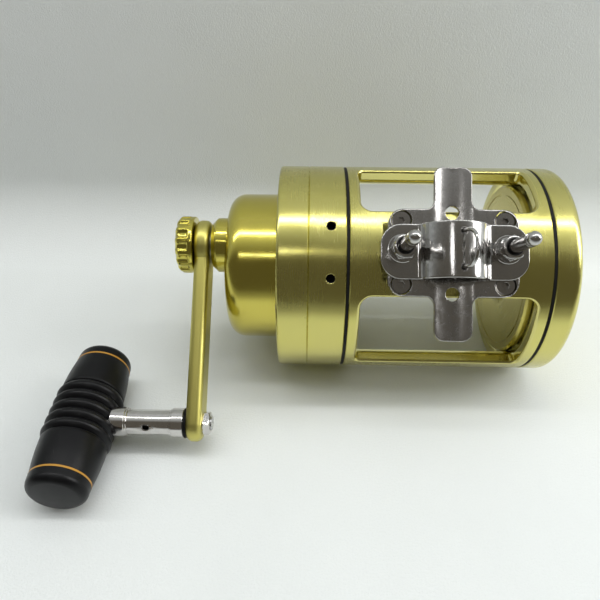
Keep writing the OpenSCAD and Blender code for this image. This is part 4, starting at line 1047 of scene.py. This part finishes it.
def sweptWireTree():
    # A round wire along the object's own edges, as one curve
    inputs = {"path": ("Path", "Geometry", None), "radius": ("Wire radius", "Float", 1.0),
              "sides": ("Sides", "Int", 20), "count": ("Points", "Int", 60)}
    kinds = {"curve": "MeshToCurve", "even": "ResampleCurve", "section": "CurvePrimitiveCircle",
             "wire": "CurveToMesh"}
    links = [("start", "Path", "curve", "Mesh"), ("curve", "Curve", "even", "Curve"),
             ("start", "Points", "even", "Count"),
             ("start", "Wire radius", "section", "Radius"), ("start", "Sides", "section", "Resolution"),
             ("even", "Curve", "wire", "Curve"), ("section", "Curve", "wire", "Profile Curve"),
             ("wire", "Mesh", "real", "Geometry")]
    tree, ids, made = patternTree("sweptWire", inputs, kinds, links)
    made["wire"].inputs["Fill Caps"].default_value = True
    return tree, ids


def makeLoop():
    s = loopSizes
    st = strapSizes
    top = st["under"] + st["t"] + st["rise"]
    lean = math.radians(s["lean"])
    flat = [(-s["half"], -s["sink"])]
    for side in (-1, 1):
        for t in quarter(16):
            if side < 0:
                flat.append((-s["half"] + s["bend"] * (1 - math.cos(t)),
                             s["rise"] - s["bend"] + s["bend"] * math.sin(t)))
            else:
                flat.append((s["half"] - s["bend"] * (1 - math.sin(t)),
                             s["rise"] - s["bend"] + s["bend"] * math.cos(t)))
    flat.append((s["half"], -s["sink"]))
    points = [(s["x"] + h * math.sin(lean), y, top + h * math.cos(lean)) for y, h in flat]
    mesh = bpy.data.meshes.new("lanyardLoop")
    mesh.from_pydata(points, [(i, i + 1) for i in range(len(points) - 1)], [])
    obj = addObject("lanyardLoop", mesh, [strapSteel])
    tree, ids = sweptWireTree()
    modifier = obj.modifiers.new("wire", "NODES")
    modifier.node_group = tree
    modifier[ids["radius"]] = s["wire"]
    modifier[ids["sides"]] = s["sides"]
    modifier[ids["count"]] = s["points"]
    modifier[ids["material"]] = strapSteel
    settle(obj)
    obj.data.transform(reelAxes)
    obj.data.shade_smooth()
    if not len(obj.data.materials):
        obj.data.materials.append(strapSteel)
    finishPiece(obj, "rod_clamp", ["safety_loop"], False)


studSizes = {"r": 3.3, "shankR": 3.23, "neckR": 2.8, "ballR": 3.12, "top": 96.5, "threadFrom": 60.0,
             "threadTop": 70.5, "root": 55.8, "pitch": 1.0, "threadDepth": 0.32, "ballFrom": -52}
nutSizes = {"flangeR": 6.95, "flangeT": 0.9, "r": 6.42, "h": 6.2, "collarR": 5.1, "collarH": 3.2,
            "boreR": 3.36,
            "insertR": 4.15, "under": 62.3, "coneSlope": 0.58, "turnLeft": 0.1, "turnRight": 0.35}


def uprightRings(path, at, segments=64, turn=0.0):
    # Rings about an axis along z, from (height, radius) points
    turns = [2 * math.pi * i / segments + turn for i in range(segments)]
    return [[Vector((at[0] + r * math.cos(a), at[1] + r * math.sin(a), h)) for a in turns] for h, r in path]


def hexReach(angle, apothem, cone):
    # Radius of a hexagon at an angle, cut off by a cone
    return min(apothem / math.cos(angle % (math.pi / 3) - math.pi / 6), cone)


def makeStuds():
    s = studSizes
    shape = Shape()
    for side in (-1, 1):
        at = (strapSizes["x"] + side * strapSizes["studAt"], strapSizes["studV"])
        path = [(s["root"], 0), (s["root"], s["r"] - 0.3)]
        h = s["threadFrom"]
        valley = s["r"] - s["threadDepth"]
        thread = ((0, s["r"]), (0.15, s["r"]), (0.5, valley), (0.65, valley))
        while h < s["threadTop"] - s["pitch"]:
            path += [(h + share * s["pitch"], r) for share, r in thread]
            h += s["pitch"]
        centre = s["top"] - s["ballR"]
        path += [(s["threadTop"] + 0.3, s["shankR"])]
        path += [(s["top"] - under, r) for under, r in
                 ((6.5, s["shankR"]), (6.2, s["shankR"] - 0.12), (6.05, s["neckR"]), (5.65, s["neckR"]))]
        for k in range(19):
            t = math.radians(s["ballFrom"] + (90 - s["ballFrom"]) * k / 18)
            path.append((centre + s["ballR"] * math.sin(t), s["ballR"] * math.cos(t)))
        shape.strips(uprightRings(path, at))
    makePiece("clampStudPair", shape, [strapSteel], "reel_body", ["clamp_studs"], sharp=40)


def makeNuts():
    s = nutSizes
    apothem = s["r"] * math.cos(math.pi / 6)
    flat = apothem - 0.1
    segments = 96
    shape, inserts = Shape(), Shape()

    def ring(at, h, cone, turn):
        loop = []
        for i in range(segments):
            a = 2 * math.pi * i / segments
            r = hexReach(a, apothem, cone)
            loop.append(Vector((at[0] + r * math.cos(a + turn), at[1] + r * math.sin(a + turn), h)))
        return loop

    for side, turn in ((-1, s["turnLeft"]), (1, s["turnRight"])):
        at = (strapSizes["x"] + side * strapSizes["studAt"], strapSizes["studV"])
        h0, h1 = s["under"], s["under"] + s["h"]
        foot = h0 + s["flangeT"]
        cones = [(0.2 * k, flat + 0.2 * k / s["coneSlope"]) for k in range(1, 5)]
        levels = [(foot, flat)] + [(foot + rise, r) for rise, r in cones]
        levels += [(h1 - rise, r) for rise, r in cones[::-1]] + [(h1, flat)]
        rings = [ring(at, h, cone, turn) for h, cone in levels]
        shape.strips(rings)
        top = h1 + s["collarH"]
        path = [(h1, s["collarR"] + 0.2), (h1 + 0.3, s["collarR"]), (top - 0.45, s["collarR"]),
                (top - 0.12, s["collarR"] - 0.15), (top, s["collarR"] - 0.45), (top, s["insertR"]),
                (top - 0.5, s["insertR"]), (top - 0.5, s["boreR"]), (h0, s["boreR"])]
        collar = uprightRings(path, at, segments, turn)
        shape.strip(rings[-1], collar[0])
        shape.strips(collar)
        base = [(h0, s["boreR"]), (h0, s["flangeR"] - 0.1), (h0 + 0.1, s["flangeR"]),
                (foot - 0.25, s["flangeR"]),
                (foot - 0.05, s["flangeR"] - 0.2), (foot, s["flangeR"] - 0.5), (foot, flat)]
        flange = uprightRings(base, at, segments, turn)
        shape.strips(flange)
        shape.strip(flange[-1], rings[0])
        rim = s["insertR"] - 0.03
        insert = [(top - 0.55, rim), (top - 0.12, rim), (top - 0.02, s["insertR"] - 0.2),
                  (top - 0.1, s["boreR"] + 0.15), (top - 0.55, s["boreR"])]
        inserts.strips(uprightRings(insert + [insert[0]], at, 48))
    makePiece("clampNutPair", shape, [strapSteel], "rod_clamp", ["clamp_nuts"], sharp=25)
    makePiece("nutInsertRings", inserts, [washerNylon], "rod_clamp", ["nut_inserts"])


makeStrap()
makeLoop()
makeStuds()
makeNuts()
print("rod clamp made")

# Handle arm and drag knob
armSizes = {"x": (-82.4, -74.2), "hubR": 13.5, "halfW": 9.5, "edge": 3.2, "squareR": 6.02, "spindleR": 3.52}


def armOutline(s, length):
    tangent = math.asin(s["halfW"] / s["hubR"])
    loop = []
    for k in range(57):
        a = tangent + (2 * math.pi - 2 * tangent) * k / 56
        loop.append(Vector((s["hubR"] * math.cos(a), s["hubR"] * math.sin(a))))
    start = s["hubR"] * math.cos(tangent)
    loop += [Vector((start + (length - start) * k / 12, -s["halfW"])) for k in range(1, 12)]
    for k in range(33):
        a = -math.pi / 2 + math.pi * k / 32
        loop.append(Vector((length + s["halfW"] * math.cos(a), s["halfW"] * math.sin(a))))
    loop += [Vector((length + (start - length) * k / 12, s["halfW"])) for k in range(1, 12)]
    return loop


def makeArm():
    s = armSizes
    away = Vector((knobAt.y - driveAt.y, knobAt.z - driveAt.z))
    length = away.length
    along = away.normalized()
    across = Vector((-along.y, along.x))
    x0, x1 = s["x"]

    def place(a, b, top, depth):
        p = along * a + across * b
        return Vector((x0 + depth if top else x1 - depth, driveAt.y + p.x, driveAt.z + p.y))

    shape = Shape()
    holes = [circleLoop(0, 0, s["squareR"], 40), circleLoop(length, 0, s["spindleR"], 32)]
    slab(shape, armOutline(s, length), holes, s["edge"], place, 3.0, 9, 0.4)
    makePiece("handleArmBar", shape, [goldArm], "handle", ["handle_arm"], sharp=40)


knobSizes = {"x": (-92.3, -82.7), "r": 15.6, "flutes": 14, "fluteHalf": 0.33, "fluteDepth": 1.25,
             "fluteFlat": 3.2,
             "fluteSoft": 0.8, "fadeRun": 1.1, "gripFrom": 11.2, "gripRun": 2.2, "rim": 2.3, "dome": 3.0,
             "lipR": 11.6, "faceDepth": 3.0, "boreR": 5.03}


def makeDragKnob():
    s = knobSizes
    x0, x1 = s["x"]
    perFlute = 22
    segments = s["flutes"] * perFlute
    lipR = s["lipR"]
    profile = [(x0 + s["faceDepth"], s["boreR"]), (x0 + s["faceDepth"], 8.2), (x0 + 0.6, 8.6),
               (x0 + 0.3, 9.2),
               (x0, 9.6), (x0, lipR)]
    for t in quarter(10, 1):
        profile.append((x0 + s["dome"] * (1 - math.cos(t)), lipR + (s["r"] - lipR) * math.sin(t)))
    profile += [(x0 + s["dome"] + (x1 - 0.6 - x0 - s["dome"]) * k / 14, s["r"]) for k in range(1, 15)]
    profile += [(x1 - 0.3, s["r"] - 0.1), (x1 - 0.08, s["r"] - 0.35), (x1, s["r"] - 0.7), (x1, s["boreR"])]
    rings = []
    for x, r in profile:
        ring = []
        fade = min(1.0, max(0.0, (x1 - s["rim"] - x) / s["fadeRun"]))
        fade = math.sqrt(max(0.0, 1 - (1 - fade) ** 2))
        grip = min(1.0, max(0.0, (r - s["gripFrom"]) / s["gripRun"]))
        for i in range(segments):
            phase = (i % perFlute) / perFlute - 0.5
            p = min(1.0, abs(phase) / s["fluteHalf"])
            dip = (1 - p ** s["fluteFlat"]) ** s["fluteSoft"] * s["fluteDepth"] * fade * grip
            a = 2 * math.pi * i / segments
            ring.append(Vector((x, driveAt.y + (r - dip) * math.sin(a), driveAt.z + (r - dip) * math.cos(a))))
        rings.append(ring)
    rings.append(rings[0])
    shape = Shape()
    shape.strips(rings)
    makePiece("dragKnobScalloped", shape, [goldDrive], "drag_control", ["drag_knob"],
              sharp=50)


makeArm()
makeDragKnob()
print("arm and drag knob made")

# Grip, sleeve, washer and spindle nut
gripSizes = {
    "middleX": -137.9, "r": 17.8, "endR": 15.0, "bandAt": 35.2, "bandW": 1.0, "length": 88.0, "ribs": 5,
    "ribPitch": 6.0, "ribDepth": 1.9, "ribSharp": 0.85, "ribSteps": 60, "neck": 0.9, "bulge": 0.35,
    "plainR": 16.75,
    "capEdge": 4.0, "sleeveX": (-122.0, -84.1), "sleeveR": 7.6, "waistR": 6.55, "farLen": 8.3, "nearLen": 7.1,
    "stepLen": 1.0, "boreR": 4.82,
    "crossHoleR": 1.9, "crossHoleShift": 0.8, "crossHoleTurn": 64, "washerX": (-83.8, -82.4), "washerR": 8.0,
    "nutX": (-74.2, -70.4), "nutR": 6.35, "spindleR": 3.55}
gripMiddle = Matrix.Translation((frameLo.x + gripSizes["middleX"] * 0.001, knobRow.y, knobRow.z))
gripAxes = gripMiddle @ Matrix.Rotation(math.radians(90), 4, "Z") @ Matrix.Scale(0.001, 4)
knobCentre = (knobAt.y, knobAt.z)


def makeGrip():
    s = gripSizes
    half = s["ribs"] * s["ribPitch"] / 2
    side = []
    for k in range(s["ribSteps"] + 1):
        a = half * k / s["ribSteps"]
        crest = abs(math.cos(math.pi * (a / s["ribPitch"])))
        side.append((a, s["r"] - s["ribDepth"] * (1 - crest ** s["ribSharp"])))
    plain = half + s["neck"]
    side += [(half + 0.35, s["plainR"] - 0.35), (plain, s["plainR"])]
    for k in range(1, 13):
        f = k / 12
        a = plain + (s["bandAt"] - half - s["neck"]) * f
        side.append((a, s["plainR"] + (s["endR"] - s["plainR"]) * f + s["bulge"] * math.sin(math.pi * f)))
    path = [(-a, r) for a, r in reversed(side)] + side[1:]
    path = [(-s["bandAt"], 0)] + path + [(s["bandAt"], 0)]
    shape = Shape()
    lathe(shape, path, segments=128, closed=False)
    makePiece("gripBody", shape, [gripBlack], "grip", ["knob_grip"], gripAxes, 50)
    bands, caps = Shape(), Shape()
    b0, b1 = s["bandAt"], s["bandAt"] + s["bandW"]
    for way in (-1, 1):
        lathe(bands, [(way * b0, s["endR"] - 2), (way * b0, s["endR"] + 0.05), (way * b1, s["endR"] + 0.05),
                      (way * b1, s["endR"] - 2)], segments=96)
        end = s["length"] / 2
        corners = [(way * b1, s["endR"] - 2.5), (way * b1, s["endR"]),
                   (way * (end - 1.1), s["endR"] - 0.35, s["capEdge"]), (way * end, 0)]
        cap = roundedPath(corners, 10, False)
        lathe(caps, [(way * b1, 0)] + cap, segments=128, closed=False)
    makePiece("gripBands", bands, [bandGold], "grip", ["knob_bands"], gripAxes)
    makePiece("gripEndCaps", caps, [gripBlack], "grip", ["knob_caps"], gripAxes, 40)


def makeSleeve():
    s = gripSizes
    x0, x1 = s["sleeveX"]
    w0, w1 = x0 + s["farLen"], x1 - s["nearLen"]
    step, stepR = s["stepLen"], s["sleeveR"] - 0.45
    corners = [(x0, s["boreR"]), (x0, s["sleeveR"], 0.3), (w0 - step, s["sleeveR"], 0.3),
               (w0 - step + 0.25, stepR, 0), (w0, stepR, 0.2), (w0 + 0.3, s["waistR"], 0),
               (w1 - 0.3, s["waistR"], 0), (w1, stepR, 0.2), (w1 + step - 0.25, stepR, 0),
               (w1 + step, s["sleeveR"], 0.3), (x1, s["sleeveR"], 0.4), (x1, s["boreR"])]
    shape = Shape()
    lathe(shape, roundedPath(corners, 4), knobCentre, 96)
    obj = addObject("chromeSleeve", meshFrom("chromeSleeve", shape, reelAxes), [chromePlate])
    holeX = ((w0 + w1) / 2 - s["crossHoleShift"]) * 0.001 + frameLo.x
    middle = Matrix.Translation((holeX, knobRow.y, knobRow.z))
    turn = Matrix.Rotation(math.radians(s["crossHoleTurn"]), 4, "X")
    turn = turn @ Matrix.Rotation(math.radians(-90), 4, "Y")
    cutAway(obj, [(rodShape(0, 12, s["crossHoleR"], 36), middle @ turn @ Matrix.Scale(0.001, 4))])
    finishPiece(obj, "grip", ["knob_sleeve"])


def makeWasherAndNut():
    s = gripSizes
    x0, x1 = s["washerX"]
    mid = (x0 + x1) / 2
    washers = Shape()
    outerR, innerR = s["washerR"], s["washerR"] - 0.25
    corners = [(x0, s["spindleR"]), (x0, outerR, 0.35), (mid - 0.1, outerR, 0.25), (mid - 0.1, outerR - 1.2),
               (mid + 0.1, outerR - 1.2), (mid + 0.1, innerR, 0.25),
               (x1, innerR, 0.3), (x1, s["spindleR"])]
    lathe(washers, roundedPath(corners, 4), knobCentre, 80)
    makePiece("knobWasherPair", washers, [washerNylon], "handle", ["knob_washer"])
    n0, n1 = s["nutX"]
    apothem = s["nutR"] * math.cos(math.pi / 6)
    segments = 96
    shape = Shape()

    def ring(x, cone):
        loop = []
        for i in range(segments):
            a = 2 * math.pi * i / segments
            r = hexReach(a, apothem, cone)
            loop.append(Vector((x, knobAt.y + r * math.sin(a), knobAt.z + r * math.cos(a))))
        return loop

    cones = [(n0, apothem - 0.1), (n0 + 0.25, apothem + 0.35), (n0 + 0.55, s["nutR"] + 0.1),
             (n1 - 0.75, s["nutR"] + 0.1), (n1 - 0.5, apothem + 0.5), (n1 - 0.25, apothem + 0.1),
             (n1, apothem - 0.35)]
    rings = [ring(x, c) for x, c in cones]
    shape.strips(rings)
    boreStops = ((n1, 4.1), (n1 - 0.5, s["spindleR"]), (n0, s["spindleR"]))
    bore = [circleRing(x, r, knobCentre, segments) for x, r in boreStops]
    shape.strip(rings[-1], bore[0])
    shape.strips(bore)
    shape.strip(bore[-1], rings[0])
    makePiece("spindleHexNut", shape, [chromePlate], "handle", ["spindle_nut"], sharp=25)


makeGrip()
makeSleeve()
makeWasherAndNut()
print("grip made")

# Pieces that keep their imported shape
packedFinish = {
    "seal_left": sealRubber, "seal_right": sealRubber, "cup_screws": screwSteel, "drag_discs": dragCarbon,
    "knob_bushes": bronzeBush, "click_button": goldCup}
for name, obj in nodes.items():
    obj.data.materials.clear()
    obj.data.materials.append(packedFinish.get(name, bearingSteel))
bpy.data.objects.remove(gearScrew)

# Floor, wall and light
stageSizes = {
    "rows": (-1.6, -0.9, -0.45, -0.2, 0.0, 0.105), "back": 0.105, "bend": 0.05, "wall": 0.38, "lean": 0.015,
    "top": 0.8, "far": 1.5, "side": 2.4, "fold": 0.02, "foldUp": 0.03, "columns": 9,
    "light": (0.78, 0.81, 0.80, 1), "pale": (0.75, 0.78, 0.77, 1), "fibre": (0.70, 0.725, 0.715, 1),
    # near is painted shade: the dark tone the cloth fades to towards the front of the reel
    "near": (0.22, 0.22, 0.21, 1)}


def makeStage():
    s = stageSizes
    profile = [(y, 0.0) for y in s["rows"]]
    for t in quarter(16, 1):
        profile.append((s["back"] + s["bend"] * math.sin(t), s["bend"] * (1 - math.cos(t))))
    atBend = len(s["rows"]) - 1
    wallAt = s["back"] + s["bend"] + s["lean"]
    profile += [(wallAt, s["wall"]), (wallAt + s["fold"], s["wall"] + s["foldUp"]), (s["far"], s["top"]),
                (s["far"], 0.0)]
    columns = s["columns"]
    rowPairs = [(r, r + 1) for r in range(len(profile) - 2)] + [(atBend, len(profile) - 1)]
    points = [(-s["side"] + 2 * s["side"] * c / (columns - 1), y, z)
              for y, z in profile for c in range(columns)]
    faces = [(r * columns + c, r * columns + c + 1, n * columns + c + 1, n * columns + c)
             for r, n in rowPairs for c in range(columns - 1)]
    mesh = bpy.data.meshes.new("sweep")
    mesh.from_pydata(points, [], faces)
    mesh.shade_smooth()
    material, tree, shader, coords = startMaterial("paleCloth", 0.0, 0.9)
    fibres = noise(tree, coords, 900, 4.0, 0.7)
    patches = noise(tree, coords, 9, 3.0, 0.5)
    tone = mixColor(tree, ramp(tree, patches, 0.35, 0.65), s["pale"], s["light"])
    tone = mixColor(tree, ramp(tree, fibres, 0.3, 0.7, 0.0, 0.3), tone, s["fibre"])
    parts = addNode(tree, "ShaderNodeSeparateXYZ", in0=coords).outputs
    # Painted shade: the cloth fades to the dark near tone towards the front, standing in for the unlit room
    # in front of the reel that the metal mirrors
    tone = mixColor(tree, ramp(tree, parts[1], -0.16, -0.34, 0.0, 0.9), tone, s["near"])
    finishMaterial(tree, shader, tone, fibres, 0.3, 0.001)
    # The wall is clear from behind, so that it never hides the reel
    facing = addNode(tree, "ShaderNodeNewGeometry").outputs["Backfacing"]
    clear = addNode(tree, "ShaderNodeBsdfTransparent").outputs[0]
    mix = addNode(tree, "ShaderNodeMixShader")
    surface = next(n for n in tree.nodes if n.type == "OUTPUT_MATERIAL").inputs["Surface"]
    tree.links.new(facing, mix.inputs[0])
    tree.links.new(shader.outputs[0], mix.inputs[1])
    tree.links.new(clear, mix.inputs[2])
    tree.links.new(mix.outputs[0], surface)
    floor = addObject("sweep", mesh, [material])


# Each lamp: place, aim, size, power, and whether metal mirrors it
lampSizes = {
    "ceilingStrip": ((0.10, 0.0, 1.05), (0.10, 0.03, 0.05), (2.4, 0.06), 6.5, True),
    "softFill": ((0.15, -0.05, 1.40), (0.05, 0.0, 0.0), (1.2, 1.0), 3.6, False),
    "leftLamp": ((-0.12, -0.55, 0.85), (-0.03, 0.02, 0.09), (0.14, 0.04), 0.2, True),
    "rightSoft": ((1.3, -0.1, 0.75), (0.15, 0.0, 0.0), (0.5, 0.8), 9, True)}


def addLight(name, at, aim, size, power, inMirrors):
    data = bpy.data.lights.new(name, "AREA")
    data.shape = "RECTANGLE"
    data.size, data.size_y = size
    data.energy = power
    light = bpy.data.objects.new(name, data)
    light.location = at
    light.rotation_mode = "QUATERNION"
    light.rotation_quaternion = (Vector(aim) - Vector(at)).to_track_quat("-Z", "Y")
    light.visible_glossy = inMirrors
    scene.collection.objects.link(light)


roomTones = {"left": (0.46, 0.48, 0.475, 1), "right": (0.80, 0.83, 0.83, 1),
             "front": (0.125, 0.115, 0.095, 1)}


def makeWorld():
    world = bpy.data.worlds.new("room")
    scene.world = world
    world.use_nodes = True
    tree = world.node_tree
    tree.nodes.clear()
    direction = tree.nodes.new("ShaderNodeTexCoord").outputs["Generated"]
    parts = addNode(tree, "ShaderNodeSeparateXYZ", in0=direction).outputs
    reach = math2(tree, "SQRT", math2(tree, "ADD", math2(tree, "MULTIPLY", parts[1], parts[1]),
                                      math2(tree, "MULTIPLY", parts[2], parts[2])))
    forward = math2(tree, "DIVIDE", parts[1], reach)
    dark = ramp(tree, forward, -0.20, -0.58)
    sideways = ramp(tree, parts[0], -0.9, 0.9)
    tone = mixColor(tree, sideways, roomTones["left"], roomTones["right"])
    tone = mixColor(tree, dark, tone, roomTones["front"])
    shade = addNode(tree, "ShaderNodeBackground", Color=tone, Strength=1.0)
    out = tree.nodes.new("ShaderNodeOutputWorld")
    tree.links.new(shade.outputs[0], out.inputs[0])


makeStage()
for name, values in lampSizes.items():
    addLight(name, *values)
makeWorld()
print("stage and light made")
